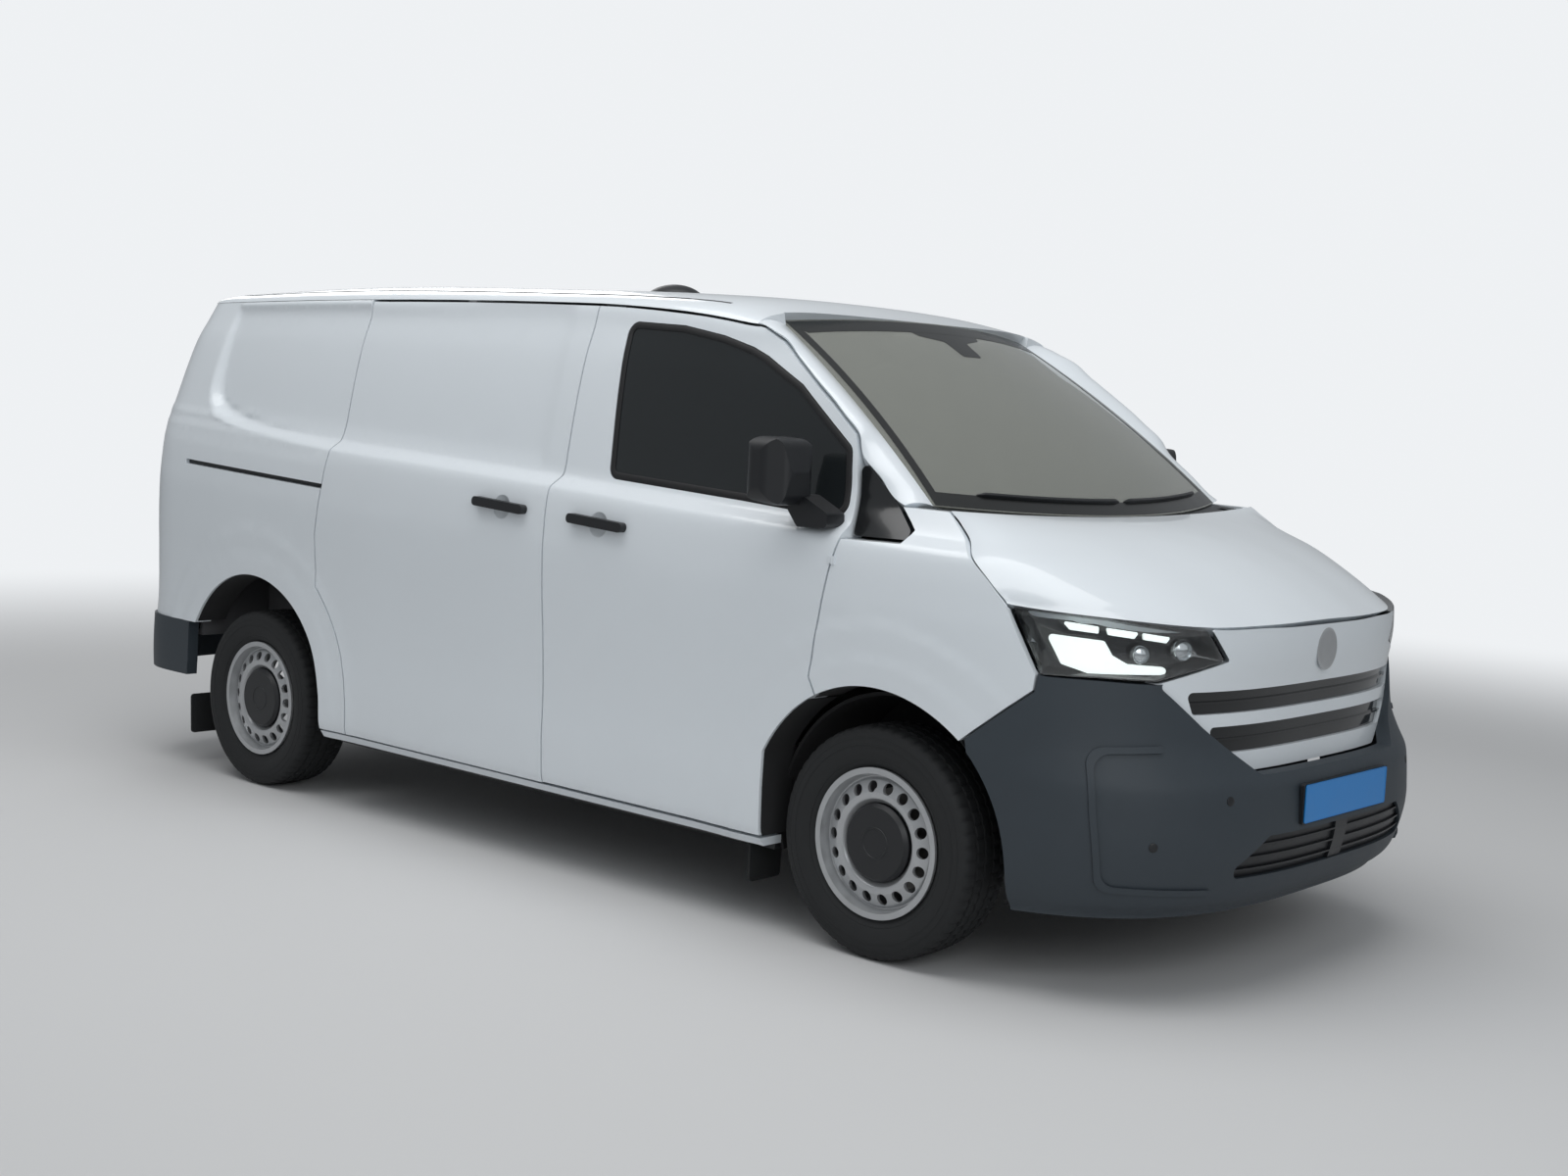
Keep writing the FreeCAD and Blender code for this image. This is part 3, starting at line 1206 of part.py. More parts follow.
save("floor_pan", fuse([floor_shape, floor_board.cut(Part.makeCompound(rack_holes))]))

# Bulkhead behind the seats, with the posts beside the front doors
post_x = 190.0
post_wall = 50.0
bulkhead_rows_share = spread(0.0, 1.0, 24)


def section_ring(x, low_z, clear, top_drop):
    """Outline across the van just inside the walls and the roof, from the left foot over the roof."""
    high_z = rail_z(x) - roof_wall - top_drop
    heights = [low_z + (high_z - low_z) * s for s in bulkhead_rows_share]
    left = [(min(inner_y(x, z), inner_y(bulkhead_x, z)) - clear, z) for z in heights]
    roof = [roof_spot(row, x, roof_wall + top_drop) for row in (6, 4, 2, 0)]
    left += [(p.y, p.z) for p in roof[:-1]]
    return left + [(0.0, roof[-1].z)] + [(-a, b) for a, b in reversed(left)]


bulkhead_gap = 2.0
bulkhead_shape = front_prism(section_ring(bulkhead_x + bulkhead_thickness, load_floor_z + fit_gap, bulkhead_gap,
                                          bulkhead_gap), 0.0, bulkhead_x, bulkhead_x + bulkhead_thickness)
bulkhead_shape = bulkhead_shape.cut(block(bulkhead_x, bulkhead_x + bulkhead_thickness, -half_width, half_width, 0,
                                          load_floor_z + fit_gap))
post_outer = front_prism(section_ring(post_x, load_floor_z + fit_gap, 2 * seam_gap, fit_gap), 0.0, bulkhead_x,
                         post_x)
post_inner = front_prism(section_ring(post_x, 0.0, 2 * seam_gap + post_wall, post_wall), 0.0,
                         bulkhead_x - cut_over, post_x + cut_over)
bulkhead_shape = fuse([bulkhead_shape, post_outer.cut(post_inner)]).cut(door_rooms).cut(roof_shape)
save("bulkhead", bulkhead_shape)

# Wall ahead of the cab with the front wheel housings
liner_low_z = 240.0
liner_side_z = 520.0
liner_inner_y = 552.0
liner_outer_y = 0.87 * half_width
firewall_top_z = 1230.0
firewall_half_y = 0.80 * half_width
housing = arch_cylinder(front_axle_x, front_arch_z, liner_radius)
housing = housing.cut(arch_cylinder(front_axle_x, front_arch_z, liner_radius - liner_wall))
low_cut = block(front_axle_x - 2 * liner_radius, front_axle_x + 2 * liner_radius, -half_width, half_width, -liner_radius,
                liner_low_z)
housing = housing.cut(low_cut)
sides = block(front_axle_x - liner_radius, front_axle_x + liner_radius, -liner_inner_y, liner_inner_y,
              liner_side_z, front_arch_z + liner_radius)
sides = sides.common(arch_cylinder(front_axle_x, front_arch_z, liner_radius))
housing = housing.common(block(0, half_length, -liner_outer_y, liner_outer_y, 0, body_height))
housing = housing.cut(block(0, half_length, -liner_inner_y + liner_wall, liner_inner_y - liner_wall, 0, body_height))
sides = sides.cut(block(0, half_length, -liner_inner_y + liner_wall, liner_inner_y - liner_wall, 0, body_height))
wall_plate = block(firewall_x, firewall_x + firewall_wall, -firewall_half_y, firewall_half_y,
                   front_arch_z + liner_radius - liner_wall, firewall_top_z)
low_plate = block(firewall_x, firewall_x + firewall_wall, -liner_inner_y, liner_inner_y,
                  cab_floor_z - floor_wall, firewall_top_z)
save("firewall", fuse([housing, sides, wall_plate, low_plate]))

# Dashboard: outline in shares of its depth back from the wall and of its height
dash_half_y = 0.80 * half_width
dash_depth = 360.0
dash_low_z = 860.0
dash_height = 386.0
dash_corner = 30.0
dash_share = [(0.0, 0.953), (0.277, 1.0), (0.555, 0.984), (0.888, 0.870), (1.0, 0.674), (0.930, 0.324), (0.666, 0.117),
              (0.0, 0.0)]
dash_points = [(firewall_x - fit_gap - a * dash_depth, dash_low_z + b * dash_height) for a, b in dash_share]
dash_shape = side_prism(dash_points, dash_corner, -dash_half_y, dash_half_y)

# Seats: outlines in shares of the cushion's length and of the height over the seat box
seat_foot_z = cab_floor_z + fit_gap
seat_box_z = 730.0
seat_back_x = 225.0
seat_length = 605.0
seat_height = 640.0
seat_inset = 40.0
seat_sink = 5.0
seat_corner = 30.0
seat_share = [(0.107, 0.0), (0.950, 0.0), (1.0, 0.109), (0.950, 0.203), (0.372, 0.172), (0.289, 0.266), (0.140, 0.953),
              (0.091, 1.0), (0.008, 0.969), (0.0, 0.891)]
head_share = [(-0.017, 1.047), (0.107, 1.047), (0.124, 1.188), (0.074, 1.273), (-0.008, 1.273), (-0.050, 1.172)]
post_low_share = 0.891
post_high_share = 1.0625
post_back_share = 0.017
post_depth = 20.0
post_half = 60.0
head_half = 110.0
driver_y = 420.0
driver_half_width = 235.0
bench_low_y = -660.0
bench_high_y = 100.0
bench_head_inset = 195.0


def seat(y0, y1, heads):
    """Seat from y0 to y1 with a head rest at each of the places in heads."""
    def spot(a, b):
        return (seat_back_x + a * seat_length, seat_box_z + b * seat_height)

    back_x, low_z = spot(seat_share[0][0], 0.0)
    front_x = spot(seat_share[1][0], 0.0)[0]
    parts = [side_prism([spot(a, b) for a, b in seat_share], seat_corner, y0, y1),
             block(back_x + seat_inset, front_x - seat_inset, y0 + seat_inset, y1 - seat_inset, seat_foot_z,
                   low_z + seat_sink)]
    for y in heads:
        post_x0, post_z0 = spot(post_back_share, post_low_share)
        parts.append(side_prism([spot(a, b) for a, b in head_share], seat_corner, y - head_half, y + head_half))
        parts.append(block(post_x0, post_x0 + post_depth, y - post_half, y + post_half, post_z0,
                           spot(0.0, post_high_share)[1]))
    return fuse(parts)


save("driver_seat", seat(driver_y - driver_half_width, driver_y + driver_half_width, [driver_y]))
save("passenger_bench", seat(bench_low_y, bench_high_y, [bench_low_y + bench_head_inset, bench_high_y - bench_head_inset]))

# Steering wheel with a bored hub on the column's shaft
steer_wheel_radius = 192.0
steer_grip_radius = 15.0
steer_spoke_radius = 12.0
steer_hub_radius = 62.0
steer_hub_depth = 46.0
steer_hub_behind_share = 0.8
steer_shaft_radius = 14.0
steer_column_radius = 40.0
steer_column_length = 250.0
steer_gap = 6.0
steer_x = 985.0
steer_z = 1105.0
steer_axis = Vector(-0.82, 0, 0.57).normalize()
steer_centre = Vector(steer_x, driver_y, steer_z)
steer_face = steer_centre - steer_axis * steer_hub_depth * steer_hub_behind_share
grip = Part.makeTorus(steer_wheel_radius, steer_grip_radius, steer_centre, steer_axis)
spokes = [Part.makeCylinder(steer_hub_radius, steer_hub_depth, steer_face, steer_axis), grip]
down = Vector(-steer_axis.z, 0, steer_axis.x)
for way in (Vector(0, 1, 0), Vector(0, -1, 0), down):
    spokes.append(rod(steer_spoke_radius, steer_centre, steer_centre + way * steer_wheel_radius))
column_start = steer_face - steer_axis * steer_gap
bore = rod(steer_shaft_radius + hinge_running_gap, column_start, steer_face + steer_axis * steer_hub_depth / 2)
save("steering_wheel", fuse(spokes).cut(bore))
column = rod(steer_column_radius, column_start, column_start - steer_axis * steer_column_length)
shaft = rod(steer_shaft_radius, column_start, steer_face + steer_axis * (steer_hub_depth / 2 - hinge_running_gap))
save("dashboard", fuse([dash_shape, column, shaft]))

# Engine, on the front cross members
wheel_y = wheel_track / 2
kingpin_y = wheel_y - kingpin_inset
kingpin_radius = 8.0
stub_radius = 30.0
stub_end = 11.6
engine_back_x = 1560.0
engine_length = 560.0
engine_half_y = 330.0
engine_low_z = 440.3
engine_height = 460.0
save("engine_block", block(engine_back_x, engine_back_x + engine_length, -engine_half_y, engine_half_y, engine_low_z,
                           engine_low_z + engine_height))

# Underframe: rails, cross members, sills, outriggers and the front beam with its kingpins
rail_inner_y = 380.0
rail_outer_y = 450.0
front_rail_z = 380.0
rear_rail_z = 400.0
rail_front_x = 2390.0
cross_length = 60.0
cross_joint = 5.0
rear_cross_z = 420.0
rear_cross_height = 100.0
rear_cross_share = [-0.931, -0.475]
front_cross_share = [0.008, 0.3565, 0.626, 0.808, 0.8595]
sill_inner_y = 840.0
sill_outer_y = 900.0
sill_low_z = 235.0
sill_high_z = 286.0
outrigger_share = [-0.356, 0.0, 0.356]
outrigger_low_z = 250.0
outrigger_length = 70.0
radiator_x = 2180.0
radiator_thickness = 45.0
radiator_half_y = 360.0
radiator_high_z = 860.0
crash_beam_thickness = 30.0
crash_beam_half_y = 560.0
crash_beam_low_z = 395.0
crash_beam_high_z = 500.0
pad_half_y = 110.0
pad_low_z = 462.0
pad_high_z = 490.0
cross_top_z = engine_low_z - fit_gap
frame_shapes = mirrored_blocks(floor_tail_x, bulkhead_x - fit_gap, rail_inner_y, rail_outer_y, rear_rail_z,
                               load_floor_z - floor_wall - fit_gap)
frame_shapes += mirrored_blocks(0, rail_front_x, rail_inner_y, rail_outer_y, front_rail_z,
                                cab_floor_z - floor_wall - fit_gap)
frame_shapes += mirrored_blocks(rear_axle_x + arch_radius, cab_floor_nose_x, sill_inner_y, sill_outer_y, sill_low_z,
                                sill_high_z)
for share in outrigger_share:
    x = share * half_length
    frame_shapes += mirrored_blocks(x, x + outrigger_length, rail_inner_y, sill_inner_y + cross_joint, outrigger_low_z,
                                    sill_high_z)
    frame_shapes += mirrored_blocks(x, x + outrigger_length, rail_inner_y, rail_outer_y, outrigger_low_z,
                                    rear_rail_z + cross_joint)
for share in rear_cross_share:
    x = share * half_length
    frame_shapes.append(block(x, x + cross_length, -rail_inner_y - cross_joint, rail_inner_y + cross_joint, rear_cross_z,
                              rear_cross_z + rear_cross_height))
for share in front_cross_share:
    x = share * half_length
    frame_shapes.append(block(x, x + cross_length, -rail_inner_y - cross_joint, rail_inner_y + cross_joint, front_rail_z,
                              cross_top_z))
pad_edge_share = pad_half_y / half_width
pad_x = min(ring_spot(pad_edge_share, z, nose_wall + fit_gap, bumper_profile_share, bumper_width_share).x
            for z in (pad_low_z, pad_high_z))
frame_shapes.append(block(radiator_x, radiator_x + radiator_thickness, -radiator_half_y, radiator_half_y,
                          cross_top_z - cross_joint, radiator_high_z))
frame_shapes.append(block(rail_front_x - crash_beam_thickness, rail_front_x, -crash_beam_half_y, crash_beam_half_y,
                          crash_beam_low_z, crash_beam_high_z))
frame_shapes.append(block(rail_front_x - crash_beam_thickness, pad_x, -pad_half_y, pad_half_y, pad_low_z, pad_high_z))

# Front beam, tapered to a nib under each kingpin
beam_half = 60.0
beam_tip_half = 12.0
beam_nib_half = 4.0
beam_taper = 42.0
beam_nib = 6.0
beam_low_z = 222.0
beam_high_z = 250.0
kingpin_low_z = 240.0
kingpin_high_z = 290.0
hanger_half = 45.0
beam_ring = [(-beam_half, 0), (-beam_half, kingpin_y - beam_taper), (-beam_tip_half, kingpin_y),
             (-beam_nib_half, kingpin_y + beam_nib), (beam_nib_half, kingpin_y + beam_nib), (beam_tip_half, kingpin_y),
             (beam_half, kingpin_y - beam_taper), (beam_half, 0)]
beam_shape = plan_prism([(front_axle_x + a, b) for a, b in beam_ring], 0.0, beam_low_z, beam_high_z)
kingpin = rod(kingpin_radius, Vector(front_axle_x, kingpin_y, kingpin_low_z), Vector(front_axle_x, kingpin_y, kingpin_high_z))
frame_shapes += [beam_shape, flip(beam_shape), kingpin, flip(kingpin)]
frame_shapes += mirrored_blocks(front_axle_x - hanger_half, front_axle_x + hanger_half, rail_inner_y, rail_outer_y,
                                beam_low_z + cross_joint, front_rail_z + cross_joint)

# Holes for a tow bar in the rear ends of the rails
tow_bar_x = -2180.0
tow_bar_z = 470.0
tow_spacing_x = 160.0
tow_spacing_z = 50.0
tow_hole_radius = 6.5
tow_holes = []
for x in (tow_bar_x - tow_spacing_x / 2, tow_bar_x + tow_spacing_x / 2):
    for z in (tow_bar_z - tow_spacing_z / 2, tow_bar_z + tow_spacing_z / 2):
        tow_holes.append(rod(tow_hole_radius, Vector(x, -half_width, z), Vector(x, half_width, z)))
save("underframe", fuse(frame_shapes).cut(Part.makeCompound(tow_holes)))

# Painted sills under the doors, seated on the underframe's sides
sill_top_z = door_bottom_z - seam_gap
sill_grids = [[], []]
for x in spread(rear_axle_x + arch_radius, front_axle_x - front_arch_back_x, 24):
    heights = spread(sill_z, sill_top_z, 6)
    sill_grids[0].append([Vector(x, side_y(x, z), z) for z in heights])
    sill_grids[1].append([Vector(x, sill_outer_y + fit_gap, z) for z in heights])
sill_shape = slab(sill_grids[0], sill_grids[1])
save("sill_left", sill_shape)
save("sill_right", flip(sill_shape))

# Rear axle under the rails
axle_radius = 45.0
rear_hub_y = 770.0
axle_hanger_half = 40.0
stub_y = wheel_y + stub_end
axle_shapes = []
for radius, end_y in ((axle_radius, rear_hub_y), (stub_radius, stub_y)):
    axle_shapes.append(rod(radius, Vector(rear_axle_x, -end_y, tyre_radius), Vector(rear_axle_x, end_y, tyre_radius)))
axle_shapes += mirrored_blocks(rear_axle_x - axle_hanger_half, rear_axle_x + axle_hanger_half, rail_inner_y, rail_outer_y,
                               tyre_radius, rear_rail_z - fit_gap)
save("rear_axle", fuse(axle_shapes))

# Rear bumper round the tail, from wheel opening to wheel opening
rear_bumper_low_z = 380.0
rear_bumper_share = [0.0, 0.2, 0.4, 0.55, 0.68, 0.78, 0.85, 0.9, 0.935, 0.96, 0.978, 0.99, 0.997, 1.0]
rear_bumper_profile_share = [(0.19, 0.985), (0.22, 1.0), (0.27, 1.0), (0.31, 0.993)]


def rear_spot(share, ahead, z, depth):
    """Point of the rear bumper's skin; past share 1 it runs straight ahead."""
    reach = (half_length + tail_start_x) * min(along(rear_bumper_profile_share, z / body_height), 1.0)
    wide = side_y(tail_start_x, z)
    side = 1 if share > 0 else -1
    y = abs(share) * wide
    x = reach * (1 - abs(share) ** tail_power_y_share) ** (1 / tail_power_x_share)
    nx = tail_power_x_share * (max(x, 1.0) / reach) ** (tail_power_x_share - 1) / reach
    ny = tail_power_y_share * abs(share) ** (tail_power_y_share - 1) / wide
    scale = math.hypot(nx, ny)
    return Vector(tail_start_x + ahead - x + depth * nx / scale, side * (y - depth * ny / scale), z)


rear_grids = []
bumper_ahead = (30.0, 60.0, 95.0)
for depth in (0.0, nose_wall):
    spots = [(-1.0, a) for a in bumper_ahead[::-1]] + [(-s, 0.0) for s in rear_bumper_share[:0:-1]]
    spots += [(s, 0.0) for s in rear_bumper_share] + [(1.0, a) for a in bumper_ahead]
    rear_grids.append([[rear_spot(s, a, z, depth) for z in spread(rear_bumper_low_z, bumper_top_z - fit_gap, 10)]
                       for s, a in spots])
rear_bumper_shape = slab(rear_grids[0], rear_grids[1]).cut(rear_arch)
save("rear_bumper", rear_bumper_shape)

# Wheels: steel rims with round vents, hub caps and tyres. Profiles run in pairs of radius and outward place.
barrel_radius = 196.0
disc_back = 10.0
bead_depth = 10.0
bead_taper = 12.0
face_corner = 8.0
hub_face = 22.0
flange_y = rim_width / 2
bore_radius = stub_radius + hinge_running_gap
bore_end = 12.0
disc_front_share = [(0.878, 0.559), (0.833, 0.731), (0.670, 0.882), (0.588, 0.860), (0.534, 0.710), (0.416, 0.237)]
disc_rear_share = [(0.317, -0.108), (0.430, 0.129), (0.570, 0.600), (0.620, 0.745), (0.665, 0.765), (0.805, 0.630),
                   (0.842, 0.516)]
disc_front = [(a * rim_flange_radius, b * flange_y) for a, b in disc_front_share]
disc_rear = [(a * rim_flange_radius, b * flange_y) for a, b in disc_rear_share]
rim_profile = [(0.0, bore_end), (bore_radius, bore_end), (bore_radius, -disc_back)] + disc_rear
rim_profile += [(barrel_radius - rim_wall, disc_rear[-1][1] - disc_back), (barrel_radius - rim_wall, -flange_y),
                (rim_flange_radius, -flange_y), (rim_flange_radius, -flange_y + bead_depth),
                (rim_radius, -flange_y + bead_depth + bead_taper), (rim_radius, flange_y - bead_depth - bead_taper),
                (rim_flange_radius, flange_y - bead_depth), (rim_flange_radius, flange_y),
                (rim_radius, flange_y)] + disc_front + [(0.0, hub_face)]
face_count = len(disc_front)
rim_corner = [0.0] * (len(rim_profile) - face_count - 1) + [face_corner] * face_count + [0.0]
cap_seat_radius = 84.0
cap_low = 66.0
cap_edge = 10.0
cap_crown = 88.0
cap_profile = [(0.0, hub_face + fit_gap), (cap_seat_radius, hub_face + fit_gap), (centre_cap_radius, cap_low),
               (centre_cap_radius, cap_low + cap_edge), (centre_cap_radius - cap_edge, cap_crown), (0.0, cap_crown)]
tyre_half = tyre_width / 2
tyre_share = [(0.0, 0.837), (0.46, 1.0), (0.861, 0.902), (1.0, 0.707)]
tyre_side = [(rim_flange_radius + fit_gap + a * (tyre_radius - rim_flange_radius - fit_gap), b * tyre_half)
             for a, b in tyre_share]
tyre_profile = [(r, -out) for r, out in tyre_side] + tyre_side[::-1]


def turned(profile, corner, x, y, z, way):
    """Profile of (radius, outward place) pairs turned about the wheel's axle."""
    wire = wire_of(profile, corner, lambda r, out: Vector(x + r, y + way * out, z))
    solid = Part.Face(wire).revolve(Vector(x, y, z), Vector(0, 1, 0), 360)
    if solid.Volume < 0:
        solid.reverse()
    return solid


for label, x, way in (("front_left", front_axle_x, 1), ("front_right", front_axle_x, -1),
                      ("rear_left", rear_axle_x, 1), ("rear_right", rear_axle_x, -1)):
    y = way * wheel_y
    rim = turned(rim_profile, rim_corner, x, y, tyre_radius, way)
    vents = []
    for k in range(vent_count):
        angle = 2 * math.pi * k / vent_count
        spot = Vector(x + vent_circle_radius * math.cos(angle), y, tyre_radius + vent_circle_radius * math.sin(angle))
        vents.append(rod(vent_radius, spot + Vector(0, way * hub_face, 0), spot + Vector(0, way * tyre_half, 0)))
    save("rim_" + label, rim.cut(Part.makeCompound(vents)))
    save("tyre_" + label, turned(tyre_profile, 0.0, x, y, tyre_radius, way))
    save("hub_cap_" + label, turned(cap_profile, 0.0, x, y, tyre_radius, way))

# Knuckles with brake discs, bored for the kingpins
upright_low_z = 257.0
upright_high_z = 430.0
disc_inset = 13.0
for label, way in (("left", 1), ("right", -1)):
    y = way * kingpin_y
    disc_y = y + way * disc_inset
    upright = rod(upright_radius, Vector(front_axle_x, y, upright_low_z), Vector(front_axle_x, y, upright_high_z))
    bore = rod(kingpin_radius + hinge_running_gap, Vector(front_axle_x, y, kingpin_low_z),
               Vector(front_axle_x, y, kingpin_high_z + hinge_running_gap))
    disc = rod(brake_disc_radius, Vector(front_axle_x, disc_y, tyre_radius),
               Vector(front_axle_x, disc_y + way * brake_disc_thickness, tyre_radius))
    stub = rod(stub_radius, Vector(front_axle_x, y, tyre_radius), Vector(front_axle_x, way * stub_y, tyre_radius))
    save("knuckle_" + label, fuse([upright, disc, stub]).cut(bore))

# Door mirrors: a head rounded in three views on an arm; outlines in shares of the head's box and the arm's
mirror_reach_y = 1137.5
mirror_root_y = 965.0
mirror_back_x = 1128.0
mirror_length = 140.0
mirror_low_z = 1292.0
mirror_height = 206.0
mirror_side_share = [(0.0, 0.10), (0.90, 0.0), (1.0, 0.50), (0.86, 0.97), (0.14, 1.0), (0.0, 0.72)]
mirror_front_share = [(0.0, 0.0), (1.0, 0.04), (1.0, 0.88), (0.80, 1.0), (0.0, 1.0)]
mirror_plan_share = [(0.0, 0.0), (0.0, 1.0), (0.55, 1.0), (1.0, 0.70), (1.0, 0.0)]
mirror_side_corner = 36.0
mirror_front_corner = 52.0
mirror_plan_corner = 44.0
mirror_arm_x = 1180.0
mirror_arm_z = 1236.0
mirror_arm_length = 170.0
mirror_arm_height = 94.0
mirror_arm_share = [(0.324, 0.0), (1.0, 0.04), (1.0, 0.49), (0.41, 1.0), (0.0, 1.0), (0.118, 0.47)]
mirror_arm_corner = 14.0
mirror_arm_root_y = 930.0
mirror_arm_end_y = 1010.0
mirror_width = mirror_reach_y - mirror_root_y
head = side_prism([(mirror_back_x + a * mirror_length, mirror_low_z + b * mirror_height) for a, b in mirror_side_share],
                  mirror_side_corner, mirror_root_y, mirror_reach_y)
head = head.common(front_prism([(mirror_root_y + a * mirror_width, mirror_low_z + b * mirror_height)
                                for a, b in mirror_front_share], mirror_front_corner, 0, half_length))
head = head.common(plan_prism([(mirror_back_x + a * mirror_length, mirror_root_y + b * mirror_width)
                               for a, b in mirror_plan_share], mirror_plan_corner, 0, body_height))
arm = side_prism([(mirror_arm_x + a * mirror_arm_length, mirror_arm_z + b * mirror_arm_height)
                  for a, b in mirror_arm_share], mirror_arm_corner, mirror_arm_root_y, mirror_arm_end_y)
mirror_zone_x_share = (0.428, 0.5545)
mirror_zone_z_share = (0.580, 0.7863)
skin_grids = []
for out in (3 * fit_gap, -3 * cut_over):
    skin_grids.append([[Vector(x, side_y(x, z) + out, z)
                        for z in spread(mirror_zone_z_share[0] * body_height, mirror_zone_z_share[1] * body_height, 24)]
                       for x in spread(mirror_zone_x_share[0] * half_length, mirror_zone_x_share[1] * half_length, 12)])
mirror_shape = fuse([head, arm]).cut(slab(skin_grids[0], skin_grids[1]))
save("mirror_left", mirror_shape)
save("mirror_right", flip(mirror_shape))


# Grips of the handles
def handle_shape(x, z):
    """Grip that follows the skin round the middle x, z."""
    reach = handle_length / 2
    rise = handle_rise_share * reach
    half = handle_height / 2
    outline = [(x - reach, z - half - rise), (x + reach, z - half + rise), (x + reach, z + half + rise),
               (x - reach, z + half - rise)]
    grids = []
    for out in (handle_proud, fit_gap):
        rows = spread(z - handle_height - rise, z + handle_height + rise, 8)
        grids.append([[Vector(a, side_y(a, b) + out, b) for b in rows]
                      for a in spread(x - reach - handle_corner, x + reach + handle_corner, 8)])
    layer = slab(grids[0], grids[1])
    return layer.common(side_prism(outline, handle_corner, 0, half_width + cut_over))


front_handle = handle_shape(front_handle_x, front_handle_z)
save("handle_left", front_handle)
save("handle_right", flip(front_handle))
save("handle_slide", flip(handle_shape(rear_handle_x, rear_handle_z)))

# Aerial dome on the roof
dome_length = 280.0
dome_x = -310.0
dome_height = 36.0
dome_half_width = 90.0
dome = Part.makeSphere(1.0)
matrix = FreeCAD.Matrix()
matrix.scale(dome_length / 2, dome_half_width, 2 * dome_height)
dome = dome.transformGeometry(matrix)
dome.translate(Vector(dome_x, 0, body_height - dome_height))
dome = dome.cut(roof_shape).cut(block(dome_x - dome_length, dome_x + dome_length, -half_width, half_width, 0,
                                      body_height - roof_wall / 2))
save("roof_dome", dome)
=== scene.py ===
import math

import bmesh
import bpy
from mathutils import Matrix, Vector
from mathutils.bvhtree import BVHTree
from mathutils.geometry import delaunay_2d_cdt


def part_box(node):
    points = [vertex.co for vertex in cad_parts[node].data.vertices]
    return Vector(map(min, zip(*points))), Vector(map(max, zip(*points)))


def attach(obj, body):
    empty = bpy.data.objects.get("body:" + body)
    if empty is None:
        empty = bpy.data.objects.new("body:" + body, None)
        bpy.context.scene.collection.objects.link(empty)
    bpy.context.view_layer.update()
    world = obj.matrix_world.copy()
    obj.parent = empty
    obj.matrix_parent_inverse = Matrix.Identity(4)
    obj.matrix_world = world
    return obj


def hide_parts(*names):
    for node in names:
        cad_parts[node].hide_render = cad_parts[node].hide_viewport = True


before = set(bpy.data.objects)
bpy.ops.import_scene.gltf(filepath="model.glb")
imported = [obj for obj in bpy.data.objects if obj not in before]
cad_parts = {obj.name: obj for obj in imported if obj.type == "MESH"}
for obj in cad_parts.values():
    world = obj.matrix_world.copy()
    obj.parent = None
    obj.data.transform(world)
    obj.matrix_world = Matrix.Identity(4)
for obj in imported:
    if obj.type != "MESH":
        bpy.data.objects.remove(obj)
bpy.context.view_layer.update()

# Panel van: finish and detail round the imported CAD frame. Metres, +X forward, +Y left, +Z up.
body_length = 5.05
body_height = 1.984
wheelbase = 3.1
front_overhang = 0.976
front_axle_x = body_length / 2 - front_overhang
rear_axle_x = front_axle_x - wheelbase
tyre_radius = 0.343
wheel_y = 0.87


# Materials
cloud_detail = 3.0
grain_detail = 2.0
grain_depth_share = 0.25
coat_roughness = 0.04
least_roughness = 0.01


def finish(name, colour, roughness, metallic=0.0, coat=0.0, grain=0.0, grain_size=0.002, mottle=0.06,
           mottle_size=0.08, wear=0.05, sheen=0.0, transmission=0.0, specular=0.5, glow=0.0):
    """Material whose colour, roughness and surface vary a little, as the real finish does."""
    made = bpy.data.materials.new(name)
    made.use_nodes = True
    nodes, links = made.node_tree.nodes, made.node_tree.links
    shader = nodes["Principled BSDF"]
    place = nodes.new("ShaderNodeTexCoord")
    cloud = nodes.new("ShaderNodeTexNoise")
    cloud.inputs["Scale"].default_value = 1 / mottle_size
    cloud.inputs["Detail"].default_value = cloud_detail
    links.new(place.outputs["Object"], cloud.inputs["Vector"])
    blend = nodes.new("ShaderNodeMix")
    blend.data_type = "RGBA"
    blend.inputs["A"].default_value = [c * (1 - mottle) for c in colour] + [1]
    blend.inputs["B"].default_value = [min(c * (1 + mottle), 1) for c in colour] + [1]
    links.new(cloud.outputs["Fac"], blend.inputs["Factor"])
    links.new(blend.outputs["Result"], shader.inputs["Base Color"])
    rough = nodes.new("ShaderNodeMapRange")
    rough.inputs["To Min"].default_value = max(roughness - wear, least_roughness)
    rough.inputs["To Max"].default_value = min(roughness + wear, 1)
    links.new(cloud.outputs["Fac"], rough.inputs["Value"])
    links.new(rough.outputs["Result"], shader.inputs["Roughness"])
    shader.inputs["Metallic"].default_value = metallic
    shader.inputs["Coat Weight"].default_value = coat
    shader.inputs["Coat Roughness"].default_value = coat_roughness
    shader.inputs["Sheen Weight"].default_value = sheen
    shader.inputs["Transmission Weight"].default_value = transmission
    shader.inputs["Specular IOR Level"].default_value = specular
    if glow > 0:
        shader.inputs["Emission Color"].default_value = list(colour) + [1]
        shader.inputs["Emission Strength"].default_value = glow
    if grain > 0:
        fine = nodes.new("ShaderNodeTexNoise")
        fine.inputs["Scale"].default_value = 1 / grain_size
        fine.inputs["Detail"].default_value = grain_detail
        links.new(place.outputs["Object"], fine.inputs["Vector"])
        bump = nodes.new("ShaderNodeBump")
        bump.inputs["Strength"].default_value = grain
        bump.inputs["Distance"].default_value = grain_size * grain_depth_share
        links.new(fine.outputs["Fac"], bump.inputs["Height"])
        links.new(bump.outputs["Normal"], shader.inputs["Normal"])
    return made


